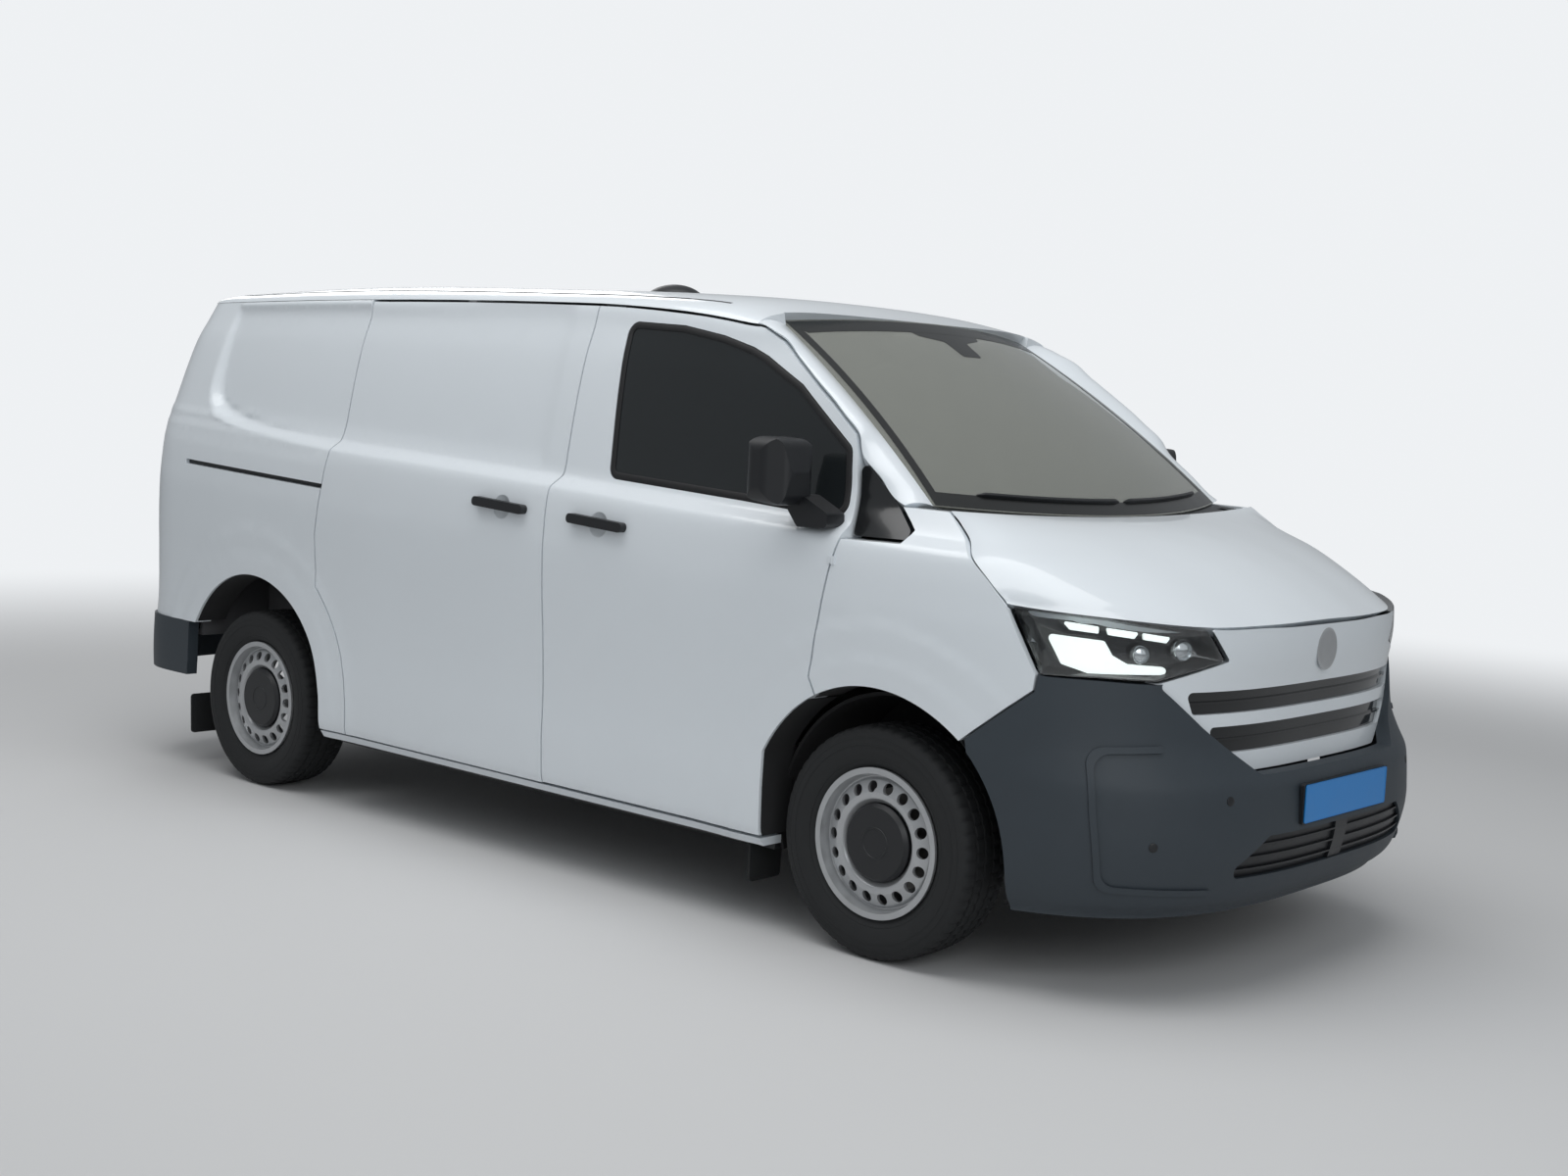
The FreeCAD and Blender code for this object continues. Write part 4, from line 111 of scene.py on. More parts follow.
paint = finish("white_paint", (0.74, 0.785, 0.82), 0.34, coat=0.7, grain=0.03, grain_size=0.004,
               mottle=0.012, mottle_size=0.5, wear=0.03)
plastic = finish("grained_plastic", (0.030, 0.040, 0.050), 0.56, grain=0.35, grain_size=0.0012,
                 mottle=0.08)
black = finish("black_plastic", (0.008, 0.009, 0.011), 0.42, grain=0.2, grain_size=0.001)
gloss_black = finish("gloss_black", (0.006, 0.007, 0.008), 0.12, coat=0.5)
rubber = finish("tyre_rubber", (0.012, 0.013, 0.014), 0.78, grain=0.3, grain_size=0.0015, mottle=0.25,
                mottle_size=0.03)
seal_rubber = finish("seal_rubber", (0.008, 0.008, 0.009), 0.65, grain=0.2)
steel = finish("silver_steel", (0.44, 0.45, 0.46), 0.36, metallic=0.55, coat=0.3, grain=0.05,
               grain_size=0.003, mottle=0.10, mottle_size=0.05)
bare_steel = finish("bare_steel", (0.30, 0.29, 0.28), 0.45, metallic=0.9, grain=0.1, mottle=0.2)
frame_paint = finish("frame_paint", (0.022, 0.023, 0.025), 0.5, grain=0.25, grain_size=0.004, mottle=0.3)
primer = finish("inner_paint", (0.62, 0.65, 0.67), 0.5, grain=0.08, grain_size=0.006, mottle=0.03)
# Near-black felt for the firewall, also used as the painted shade band inside the arches' edges
felt_and_arch_shade = finish("felt_and_arch_shade", (0.016, 0.016, 0.017), 0.95, grain=0.6, grain_size=0.003, mottle=0.3)
floor_board = finish("floor_board", (0.10, 0.10, 0.105), 0.75, grain=0.5, grain_size=0.004, mottle=0.15)
dash_plastic = finish("dash_plastic", (0.035, 0.037, 0.040), 0.6, grain=0.4, grain_size=0.0016)
seat_cloth = finish("seat_cloth", (0.045, 0.047, 0.052), 0.92, grain=0.7, grain_size=0.0022, sheen=0.25)
side_glass = finish("side_glass", (0.020, 0.024, 0.026), 0.06, transmission=0.35, mottle=0.02, wear=0.01)
screen_glass = finish("screen_glass", (0.42, 0.43, 0.39), 0.05, transmission=0.62, mottle=0.03, wear=0.01)
rear_glass = finish("rear_glass", (0.020, 0.024, 0.026), 0.06, transmission=0.3, mottle=0.02, wear=0.01)
lamp_red = finish("lamp_red", (0.16, 0.006, 0.008), 0.12, coat=0.6, mottle=0.1)
lamp_lens = finish("lamp_lens", (0.93, 0.95, 0.96), 0.03, transmission=1.0, mottle=0.01, wear=0.01)
lamp_chrome = finish("lamp_reflector", (0.55, 0.57, 0.58), 0.12, metallic=0.9, mottle=0.05)
lamp_white = finish("lamp_light_bar", (0.80, 0.86, 0.83), 0.2, glow=0.9, mottle=0.02)
plate_blue = finish("blank_plate", (0.008, 0.21, 0.58), 0.35, grain=0.1, mottle=0.03)
frit = finish("glass_border", (0.012, 0.013, 0.013), 0.25, mottle=0.05)
engine_metal = finish("engine_metal", (0.16, 0.16, 0.165), 0.5, metallic=0.6, grain=0.5, grain_size=0.01,
                      mottle=0.3)


# Mesh helpers
merge_distance = 1e-6
outline_tolerance = 1e-7


def new_piece(name, mesh, material, body, smooth_degrees=35.0):
    """Object of a mesh that rides on a body, smooth but for its sharp edges."""
    mesh.materials.clear()
    mesh.materials.append(material)
    mesh.shade_smooth()
    mesh.set_sharp_from_angle(angle=math.radians(smooth_degrees))
    piece = bpy.data.objects.new(name, mesh)
    bpy.context.collection.objects.link(piece)
    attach(piece, body)
    return piece


def mesh_from(name, points, faces):
    """Mesh with doubled points merged and its faces turned outwards."""
    mesh = bpy.data.meshes.new(name)
    mesh.from_pydata([tuple(p) for p in points], [], faces)
    work = bmesh.new()
    work.from_mesh(mesh)
    bmesh.ops.remove_doubles(work, verts=work.verts, dist=merge_distance)
    bmesh.ops.recalc_face_normals(work, faces=work.faces)
    work.to_mesh(mesh)
    work.free()
    return mesh


def loft(rings, looped=False):
    """Points and faces of a skin through rings that have the same number of points."""
    count = len(rings[0])
    points = [p for ring in rings for p in ring]
    faces = []
    last = len(rings) if looped else len(rings) - 1
    for i in range(last):
        j = (i + 1) % len(rings)
        for k in range(count):
            n = (k + 1) % count
            faces.append((i * count + k, i * count + n, j * count + n, j * count + k))
    if not looped:
        faces.append(tuple(range(count)))
        faces.append(tuple((len(rings) - 1) * count + k for k in range(count)))
    return points, faces


def lofted(name, rings, material, body, looped=False):
    """Piece with a skin through rings, in a material slot."""
    points, faces = loft(rings, looped=looped)
    made = new_piece(name, mesh_from(name, points, faces), material, body)
    return made


def turns(steps):
    """Angles of an even full turn."""
    return [2 * math.pi * k / steps for k in range(steps)]


def turned(name, profile, centre, way, steps, material, body, shape=None):
    """Turned piece about a wheel's axle from (radius, outward place) pairs; shape may change a radius."""
    rings = []
    for step, angle in enumerate(turns(steps)):
        ring = []
        for row, (radius, out) in enumerate(profile):
            r = shape(row, step, radius) if shape else radius
            ring.append(Vector((centre[0] + r * math.cos(angle), centre[1] + way * out,
                                centre[2] + r * math.sin(angle))))
        rings.append(ring)
    points, faces = loft(rings, looped=True)
    return new_piece(name, mesh_from(name, points, faces), material, body)


flat_corner = math.radians(88)
longest_cut_share = 0.48


def rounded(points, radius, arc_steps=5):
    """Closed outline with its corners rounded by arcs as far as they allow."""
    out = []
    count = len(points)
    for i in range(count):
        p = Vector(points[i])
        a = Vector(points[i - 1]) - p
        b = Vector(points[(i + 1) % count]) - p
        r = radius[i] if isinstance(radius, (list, tuple)) else radius
        half = a.angle(b) / 2
        if r <= 0 or half > flat_corner:
            out.append(p)
            continue
        cut = min(r / math.tan(half), a.length * longest_cut_share, b.length * longest_cut_share)
        middle = p + (a.normalized() + b.normalized()).normalized() * (cut / math.cos(half))
        start = p + a.normalized() * cut - middle
        turn = start.angle_signed(p + b.normalized() * cut - middle)
        for step in range(arc_steps + 1):
            out.append(middle + Matrix.Rotation(-turn * step / arc_steps, 2) @ start)
    return out


def along_path(points, step, closed):
    """Evenly spaced points on a path of straight runs."""
    spots = [Vector(p) for p in points]
    if closed:
        spots.append(spots[0])
    out = []
    for a, b in zip(spots, spots[1:]):
        pieces = max(1, round((b - a).length / step))
        out += [a.lerp(b, k / pieces) for k in range(pieces)]
    if not closed:
        out.append(spots[-1])
    return out


def curve_through(points, per_run=8):
    """Smooth path through points, with an even number of places on each run."""
    spots = [Vector(p) for p in points]
    spots = [spots[0] * 2 - spots[1]] + spots + [spots[-1] * 2 - spots[-2]]
    out = []
    for i in range(1, len(spots) - 2):
        a, b, c, d = spots[i - 1:i + 3]
        for k in range(per_run):
            t = k / per_run
            out.append(0.5 * (2 * b + (c - a) * t + (2 * a - 5 * b + 4 * c - d) * t * t
                              + (3 * b - a - 3 * c + d) * t ** 3))
    out.append(spots[-2])
    return out


cast_start = 6.0
nearest_start = 1.0


class View:
    """Casts points of a flat view onto the skins of chosen nodes."""

    def __init__(self, look, across, up, *nodes):
        self.look = Vector(look).normalized()
        self.across = Vector(across).normalized()
        self.up = Vector(up).normalized()
        points, faces = [], []
        for node in nodes:
            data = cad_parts[node].data
            start = len(points)
            points += [v.co.copy() for v in data.vertices]
            faces += [[start + k for k in p.vertices] for p in data.polygons]
        self.tree = BVHTree.FromPolygons(points, faces)

    def spot(self, a, b, lift=0.0):
        """Point of the skin at a across and b up, and the skin's normal towards the viewer."""
        place = self.across * a + self.up * b
        hit, normal, _, _ = self.tree.ray_cast(place - self.look * cast_start, self.look)
        if hit is None:
            hit, normal, _, _ = self.tree.find_nearest(place - self.look * nearest_start)
        if normal.dot(self.look) > 0:
            normal = -normal
        return hit + normal * lift, normal


def right_side(*nodes):
    return View((0, 1, 0), (1, 0, 0), (0, 0, 1), *nodes)


def left_side(*nodes):
    return View((0, -1, 0), (1, 0, 0), (0, 0, 1), *nodes)


def front_view(*nodes):
    return View((-1, 0, 0), (0, 1, 0), (0, 0, 1), *nodes)


def rear_view(*nodes):
    return View((1, 0, 0), (0, 1, 0), (0, 0, 1), *nodes)


def top_view(*nodes):
    return View((0, 0, -1), (1, 0, 0), (0, 1, 0), *nodes)


bead_shoulder = 0.55
bead_crown = 0.6
bead_end = 0.35


def bead(name, view, path, width, height, material, body, sink=0.003, closed=False, step=0.012,
         taper=0.0):
    """Rounded strip that lies on the skin along a path of the view."""
    flat = along_path(path, step, closed)
    spots = [view.spot(p[0], p[1]) for p in flat]
    count = len(spots)
    rings = []
    for i, (spot, normal) in enumerate(spots):
        before = spots[i - 1][0] if closed or i > 0 else spot
        after = spots[(i + 1) % count][0] if closed or i < count - 1 else spot
        side = (after - before).normalized().cross(normal).normalized()
        end = min(i, count - 1 - i) * step
        scale = 1.0 if closed or taper <= 0 else min(1.0, bead_end + (1 - bead_end) * end / taper)
        half = width / 2 * scale
        tall = height * scale
        rings.append([spot + side * half - normal * sink,
                      spot + side * half + normal * tall * bead_shoulder,
                      spot + side * half * bead_crown + normal * tall,
                      spot - side * half * bead_crown + normal * tall,
                      spot - side * half + normal * tall * bead_shoulder,
                      spot - side * half - normal * sink])
    points, faces = loft(rings, looped=closed)
    return new_piece(name, mesh_from(name, points, faces), material, body)


edge_clearance_share = 0.45


def patch(name, view, outline, lift, thickness, material, body, step):
    """Slab that lies on the skin inside an outline of the view."""
    edge = [Vector(p) for p in along_path(outline, step, True)]
    low = Vector((min(p.x for p in edge), min(p.y for p in edge)))
    high = Vector((max(p.x for p in edge), max(p.y for p in edge)))
    inner = []
    for i in range(int((high.x - low.x) / step) + 1):
        for j in range(int((high.y - low.y) / step) + 1):
            p = Vector((low.x + (i + 0.5) * step, low.y + (j + 0.5) * step))
            if inside(p, edge) and min((p - q).length for q in edge) > step * edge_clearance_share:
                inner.append(p)
    ring = [(k, (k + 1) % len(edge)) for k in range(len(edge))]
    spots, _, triangles, _, _, _ = delaunay_2d_cdt(edge + inner, ring, [], 1, outline_tolerance)
    top, under = [], []
    for p in spots:
        hit, normal = view.spot(p.x, p.y)
        top.append(hit + normal * lift)
        under.append(hit + normal * (lift - thickness))
    count = len(spots)
    faces = [tuple(t) for t in triangles] + [tuple(count + k for k in reversed(t)) for t in triangles]
    border = {}
    for t in triangles:
        for k in range(3):
            a, b = t[k], t[(k + 1) % 3]
            border[(a, b)] = border.get((b, a), 0) == 0
            if (b, a) in border:
                border[(a, b)] = False
                border[(b, a)] = False
    for (a, b), open_edge in border.items():
        if open_edge:
            faces.append((a, b, count + b, count + a))
    return new_piece(name, mesh_from(name, top + under, faces), material, body)


def inside(p, ring):
    """Whether p lies within a closed outline."""
    hit = False
    for a, b in zip(ring, ring[1:] + ring[:1]):
        if (a.y > p.y) != (b.y > p.y) and p.x < (b.x - a.x) * (p.y - a.y) / (b.y - a.y) + a.x:
            hit = not hit
    return hit


node_finish = {
    "bulkhead": primer, "cowl": black, "dashboard": dash_plastic, "door_glass": side_glass, "door": paint,
    "driver_seat": seat_cloth, "engine_block": engine_metal, "fender": paint, "firewall": felt_and_arch_shade,
    "floor_pan": floor_board, "front_bumper": plastic, "grille_panel": paint, "grille_slats": gloss_black,
    "handle": black, "headlamp": gloss_black, "hood": paint, "hub_cap": black, "knuckle": bare_steel,
    "lower_grille": black, "mirror": black, "passenger_bench": seat_cloth, "pillar": paint,
    "quarter_right": paint, "rear_axle": frame_paint, "rear_bumper": plastic, "rim": steel,
    "roof_dome": black, "roof_panel": paint, "sill": paint, "sail_panel": gloss_black,
    "side_panel_left": paint, "sliding_door": paint,
    "steering_wheel": dash_plastic, "tail_lamp": lamp_red, "tailgate_glass": rear_glass, "tailgate": paint,
    "tyre": rubber, "underframe": frame_paint, "windscreen": screen_glass,
}


for name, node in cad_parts.items():
    node.data.materials.clear()
    node.data.materials.append(node_finish[max((k for k in node_finish if name.startswith(k)), key=len)])


# Wheel places and the two flanks
wheels = [("front_left", front_axle_x, 1, "wheel_fl"), ("front_right", front_axle_x, -1, "wheel_fr"),
          ("rear_left", rear_axle_x, 1, "wheel_rl"), ("rear_right", rear_axle_x, -1, "wheel_rr")]
sides = [("right", -1), ("left", 1)]


def flank(side, *nodes):
    return right_side(*nodes) if side == "right" else left_side(*nodes)


# Tyres with tread blocks and grooves, in place of the plain ones
tyre_steps = 216
tyre_rows = [(0.2215, -0.080), (0.233, -0.0895), (0.250, -0.0985), (0.272, -0.1050), (0.296, -0.1070),
             (0.316, -0.1045), (0.330, -0.0985), (0.3375, -0.0900), (0.3400, -0.0790), (0.3412, -0.0620),
             (0.3412, -0.0600), (0.3345, -0.0585), (0.3345, -0.0510), (0.3424, -0.0495), (0.3428, -0.0250),
             (0.3360, -0.0235), (0.3360, -0.0155), (0.3430, -0.0140), (0.3430, 0.0)]
tyre_rows += [(r, -out) for r, out in tyre_rows[-2::-1]]
plain_rows = 7
block_radius = 0.337
centre_rib_half = 0.012
shoulder_out = 0.05
block_steps = 4
sipe_depth = 0.0048


def tread(row, step, radius):
    """Radius of a tread row, cut by sipes that are staggered from rib to rib."""
    out = tyre_rows[row][1]
    in_tread = plain_rows <= row < len(tyre_rows) - plain_rows
    if radius < block_radius or not in_tread or abs(out) < centre_rib_half:
        return radius
    shift = (2 if abs(out) > shoulder_out else 0) + (1 if out > 0 else 0)
    return radius - (sipe_depth if (step + shift) % block_steps == 0 else 0.0)


side_rings = [(0.2435, 0.0950), (0.2890, 0.1062), (0.3080, 0.1052)]
side_ring_steps = 120
ring_half = 0.003
ring_root = 0.002
ring_height = 0.0012
cap_ridge = [(0.040, 0.0870), (0.042, 0.0895), (0.046, 0.0895), (0.048, 0.0870)]
cap_ridge_steps = 72
for label, x, way, body in wheels:
    centre = (x, way * wheel_y, tyre_radius)
    made = turned("tread_tyre_" + label, tyre_rows, centre, way, tyre_steps, rubber, body, tread)
    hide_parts("tyre_" + label)
    for number, (radius, out) in enumerate(side_rings):
        ring = [(radius - ring_half, out - ring_root), (radius - ring_half / 2, out + ring_height),
                (radius + ring_half / 2, out + ring_height), (radius + ring_half, out - ring_root)]
        made = turned("tyre_ring_%s_%d" % (label, number), ring, centre, way, side_ring_steps, rubber, body)
    made = turned("cap_ridge_" + label, cap_ridge, centre, way, cap_ridge_steps, black, body)


# Windows: rubber round the door glass
window_share = [(0.1188, 0.9264), (0.2190, 0.9204), (0.2879, 0.9057), (0.3394, 0.8881), (0.3663, 0.8750),
                (0.4313, 0.8332), (0.5220, 0.7430), (0.5354, 0.6361), (0.3743, 0.6502), (0.1386, 0.6670)]
window_edge = [(a * body_length / 2, b * body_height) for a, b in window_share]
window_corner = 0.042
window_line = rounded(window_edge, window_corner)
frame_width = 0.020
frame_height = 0.0045
frame_inset = 0.013
frame_step = 0.02


def inset_line(line, distance):
    """Closed outline moved inwards by distance."""
    area = sum(a.x * b.y - b.x * a.y for a, b in zip(line[-1:] + line[:-1], line))
    out = []
    for before, p, after in zip(line[-1:] + line[:-1], line, line[1:] + line[:1]):
        run = (after - before).normalized()
        inward = Vector((-run.y, run.x)) * (1 if area > 0 else -1)
        out.append(p + inward * distance)
    return out


for side, way in sides:
    skin = flank(side, "door_glass_" + side)
    made = bead("window_rubber_" + side, skin, inset_line(window_line, frame_inset), frame_width,
                frame_height, seal_rubber, side + "_door", closed=True, step=frame_step)

# Headlamps: clear lens, dark housing and light bars, in place of the plain blocks. Their flat view looks
# along the corner's diagonal.
root_half = math.sqrt(0.5)
lamp_ring = [(1.966, 0.964, 1.078), (2.200, 0.832, 1.065), (2.357, 0.571, 1.034), (2.376, 0.502, 0.948),
             (2.293, 0.714, 0.893), (2.188, 0.842, 0.900), (2.052, 0.931, 0.899)]
lamp_flat = [((y - x) * root_half, z) for x, y, z in lamp_ring]
lamp_radius = [0.010, 0.060, 0.014, 0.006, 0.024, 0.060, 0.024]
lamp_middle = Vector((-1.0, 0.985))
lamp_step = 0.012
lens_shrink = 0.985
lens_lift = -0.001
lens_thickness = 0.003
lens_step = 0.02
housing_depth = 0.050
housing_wall = 0.006
housing_rings = [(0.84, -housing_depth), (0.955, -0.005), (0.985, -0.0045),
                 (0.90, -housing_depth - housing_wall)]
small_bars = [[(-0.846, 1.048), (-0.946, 1.039), (-0.946, 1.020), (-0.868, 1.026)],
              [(-0.966, 1.037), (-1.058, 1.027), (-1.046, 1.010), (-0.972, 1.018)],
              [(-1.072, 1.026), (-1.152, 1.016), (-1.140, 1.000), (-1.074, 1.008)]]
small_bar_depth = 0.012
small_bar_corner = 0.004
small_bar_step = 0.012
day_bar = [(-0.805, 1.011), (-0.965, 1.000), (-0.990, 0.960), (-1.036, 0.936), (-1.150, 0.928),
           (-1.150, 0.908), (-0.925, 0.908), (-0.850, 0.930)]
day_bar_depth = 0.020
day_bar_thickness = 0.010
day_bar_corner = 0.010
day_bar_step = 0.014
projectors = [(-1.075, 0.962, 0.026), (-1.205, 0.975, 0.030)]
projector_rows = [(1.0, 0.0), (1.0, 0.014), (0.86, 0.020), (0.80, 0.012), (0.5, 0.017), (0.1, 0.019)]
projector_lift = 0.004
projector_steps = 32


def ring_at(view, outline, middle, scale, lift):
    """Outline scaled about middle and cast onto the view's skin."""
    spots = []
    for p in outline:
        q = middle + (Vector(p) - middle) * scale
        hit, normal = view.spot(q.x, q.y)
        spots.append(hit + normal * lift)
    return spots


def turned_on(name, spot, normal, rows, steps, material, body):
    """Turned piece that stands on a skin's point, from (radius, outward place) rows."""
    across = normal.cross(Vector((0, 0, 1))).normalized()
    up = across.cross(normal)
    rings = [[spot + normal * out + (across * math.cos(t) + up * math.sin(t)) * radius for t in turns(steps)]
             for radius, out in rows]
    return lofted(name, rings, material, body)


for side, way in sides:
    look = Vector((-1, -way, 0)).normalized()
    skin = View(look, (-1, way, 0), (0, 0, 1), "headlamp_" + side)
    edge = along_path(rounded(lamp_flat, lamp_radius), lamp_step, True)
    lens_edge = [tuple(lamp_middle + (Vector(p) - lamp_middle) * lens_shrink) for p in edge]
    lens = patch("lamp_lens_" + side, skin, lens_edge, lens_lift, lens_thickness, lamp_lens, "shell",
                 step=lens_step)
    rings = [ring_at(skin, edge, lamp_middle, scale, lift) for scale, lift in housing_rings]
    made = lofted("lamp_housing_" + side, rings, gloss_black, "shell")
    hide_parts("headlamp_" + side)
    for number, outline in enumerate(small_bars):
        made = patch("lamp_bar_%s_%d" % (side, number), skin, rounded(outline, small_bar_corner),
                     -small_bar_depth, small_bar_depth, lamp_white, "shell", step=small_bar_step)
    made = patch("day_light_" + side, skin, rounded(day_bar, day_bar_corner), -day_bar_depth,
                 day_bar_thickness, lamp_white, "shell", step=day_bar_step)
    for number, (a, b, radius) in enumerate(projectors):
        hit, normal = skin.spot(a, b)
        rows = [(radius * share, out) for share, out in projector_rows]
        turned_on("lamp_projector_%s_%d" % (side, number), hit - normal * (housing_depth - projector_lift),
                  normal, rows, projector_steps, lamp_chrome, "shell")

# Windscreen: dark border, sensor patch and wipers
screen = front_view("windscreen")
foot_y, foot_z, foot_mid_z = 0.800, 1.322, 1.296
top_y, top_z, top_mid_z = 0.650, 1.850, 1.881
border_steps = 28
border_rows = 4
side_band, foot_band, top_band = 0.028, 0.036, 0.032
side_band_power = 3
border_lift = 0.0012
border = []
for k in range(border_steps + 1):
    u = -1 + 2 * k / border_steps
    border.append((foot_y * u, foot_mid_z + (foot_z - foot_mid_z) * u * u, foot_band))
for k in range(1, border_steps):
    v = k / border_steps
    border.append((foot_y + (top_y - foot_y) * v, foot_z + (top_z - foot_z) * v, 0))
for k in range(border_steps + 1):
    u = 1 - 2 * k / border_steps
    border.append((top_y * u, top_mid_z + (top_z - top_mid_z) * u * u, -top_band))
for k in range(1, border_steps):
    v = 1 - k / border_steps
    border.append((-foot_y - (top_y - foot_y) * v, foot_z + (top_z - foot_z) * v, 0))
rings = []
for a, b, band in border:
    reach = Vector((-math.copysign(side_band, a) * min(abs(a) / top_y, 1) ** side_band_power, band))
    upper = [screen.spot(a + reach.x * k / border_rows, b + reach.y * k / border_rows, border_lift)[0]
             for k in range(border_rows + 1)]
    under = [screen.spot(a + reach.x * k / border_rows, b + reach.y * k / border_rows, -border_lift / 2)[0]
             for k in range(border_rows, -1, -1)]
    rings.append(upper + under)
lofted("screen_border", rings, frit, "shell", looped=True)
sensor = [(-0.20, 1.862), (0.20, 1.862), (0.165, 1.835), (0.060, 1.822), (0.052, 1.775), (-0.052, 1.775),
          (-0.060, 1.822), (-0.165, 1.835)]
sensor_corner = 0.012
sensor_lift = 0.0009
sensor_thickness = 0.0012
sensor_step = 0.02
made = patch("sensor_patch", screen, rounded(sensor, sensor_corner), sensor_lift, sensor_thickness, frit,
             "shell", step=sensor_step)
blades = [(-0.62, 0.02), (0.05, 0.66)]
blade_runs = 8
blade_mid_z = 1.303
blade_rise = 0.028
blade_lift_z = 0.030
wiper_width, wiper_height, wiper_sink, wiper_step, wiper_taper = 0.014, 0.012, 0.001, 0.03, 0.03
for number, (y0, y1) in enumerate(blades):
    places = [y0 + (y1 - y0) * k / blade_runs for k in range(blade_runs + 1)]
    blade = [(y, blade_mid_z + blade_rise * (y / foot_y) ** 2 + blade_lift_z) for y in places]
    made = bead("wiper_blade_%d" % number, screen, blade, wiper_width, wiper_height, black, "shell",
                sink=wiper_sink, step=wiper_step, taper=wiper_taper)

# Cabin mirror behind the screen, on a stem
mirror_box = [(-0.125, 1.690), (0.125, 1.690), (0.125, 1.755), (-0.125, 1.755)]
mirror_mid_z = 1.7225
mirror_corner = 0.022
mirror_rows = [(1.020, 0.92), (1.026, 1.0), (1.040, 1.0), (1.052, 0.80)]
rings = []
for x, grow in mirror_rows:
    ring = rounded([(y * grow, mirror_mid_z + (z - mirror_mid_z) * grow) for y, z in mirror_box],
                   mirror_corner)
    rings.append([Vector((x, p.x, p.y)) for p in ring])
lofted("cabin_mirror", rings, black, "shell")
stem_foot = Vector((1.040, 0.0, 1.735))
stem_top_z = 1.79
stem_sink = Vector((0.012, 0, 0.004))
stem_radius = 0.010
stem_steps = 16
stem_top = screen.spot(0.0, stem_top_z)[0] - stem_sink
rings = [[spot + Vector((stem_radius * math.cos(t), stem_radius * math.sin(t), 0))
          for t in turns(stem_steps)] for spot in (stem_foot, stem_foot.lerp(stem_top, 0.5), stem_top)]
lofted("cabin_mirror_stem", rings, black, "shell")

# Dark bands inside the arches' edges, painted shade where the arch lips turn in under the body; the part
# over a cab door rides on the door
arch_shade_steps = 40
arch_shade_gap = 0.010
arch_shade_inner_y = 0.865
arch_shade_cast = 0.006
arch_shade_outer = 0.0008
arch_shade_inner = 0.0030
front_arch = (front_axle_x, 0.343)
rear_arch = (rear_axle_x, 0.370)
arch_radius = 0.460
front_arch_edge_x = front_axle_x - 0.408
no_edge_x = -4.0
door_seam_angle = 121.5
door_seam_gap = 2.0
rear_arch_angles = (-8.0, 149.0)
front_arch_angles = (46.0, door_seam_angle - door_seam_gap)
door_arch_angles = (door_seam_angle, 186.0)


def painted_arch_shade(name, view, middle, angles, edge_x, way, body):
    """Thin dark band of painted shade along an arch between two angles, no further back than edge_x."""
    start, end = angles
    rings = []
    for k in range(arch_shade_steps + 1):
        angle = math.radians(start + (end - start) * k / arch_shade_steps)
        out_x = middle[0] + math.cos(angle) * (arch_radius + arch_shade_cast)
        out_z = middle[1] + math.sin(angle) * (arch_radius + arch_shade_cast)
        hit = view.spot(max(out_x, edge_x - arch_shade_cast), out_z)[0]
        outer_y = abs(hit.y) - arch_shade_gap
        ring = []
        for r, y in ((arch_radius - arch_shade_outer, outer_y), (arch_radius - arch_shade_outer, arch_shade_inner_y),
                     (arch_radius - arch_shade_inner, arch_shade_inner_y), (arch_radius - arch_shade_inner, outer_y)):
            x = max(middle[0] + math.cos(angle) * r, edge_x + arch_radius - r)
            z = middle[1] + math.sin(angle) * r
            if x > middle[0] + math.cos(angle) * r:
                z = middle[1] + math.sin(angle) * arch_radius
            ring.append(Vector((x, way * y, z)))
        rings.append(ring)
    lofted(name, rings, felt_and_arch_shade, body)


for side, way in sides:
    rear_skin = flank(side, "quarter_right" if side == "right" else "side_panel_left")
    painted_arch_shade("rear_arch_" + side, rear_skin, rear_arch, rear_arch_angles, no_edge_x, way, "shell")
    painted_arch_shade("front_arch_" + side, flank(side, "fender_" + side), front_arch, front_arch_angles,
                front_arch_edge_x, way, "shell")
    painted_arch_shade("door_arch_" + side, flank(side, "door_" + side), front_arch, door_arch_angles,
                front_arch_edge_x, way, side + "_door")

# Front: blank plate, plain disc in the badge's place, sensors
front = front_view("front_bumper", "grille_panel", "lower_grille", "grille_slats", "hood")
plate_width = 0.52
plate_height = 0.11
plate_corner = 0.008
plate_bevel_share = 0.012
plate_bevel_depth = 0.001
plate_parts = [("_holder", 1.06, -0.012, 0.0), ("_plate", 1.0, 0.0, 0.003)]


def plate(name, x, face, middle_z, body):
    """Blank number plate with a raised edge, on a holder; face is 1 to the front and -1 to the rear."""
    for part, grow, inner_depth, outer_depth in plate_parts:
        half_w = plate_width / 2 * (1 + (grow - 1) / 2)
        half_h = plate_height / 2 * grow
        outline = rounded([(-half_w, middle_z - half_h), (half_w, middle_z - half_h),
                           (half_w, middle_z + half_h), (-half_w, middle_z + half_h)], plate_corner)
        inset = [p + (Vector((0, middle_z)) - p) * plate_bevel_share for p in outline]
        rings = []
        for ring, depth in ((outline, inner_depth), (outline, outer_depth), (inset, outer_depth),
                            (inset, outer_depth - plate_bevel_depth)):
            rings.append([Vector((x + face * depth, p.x, p.y)) for p in ring])
        lofted(name + part, rings, plate_blue if part == "_plate" else black, body)


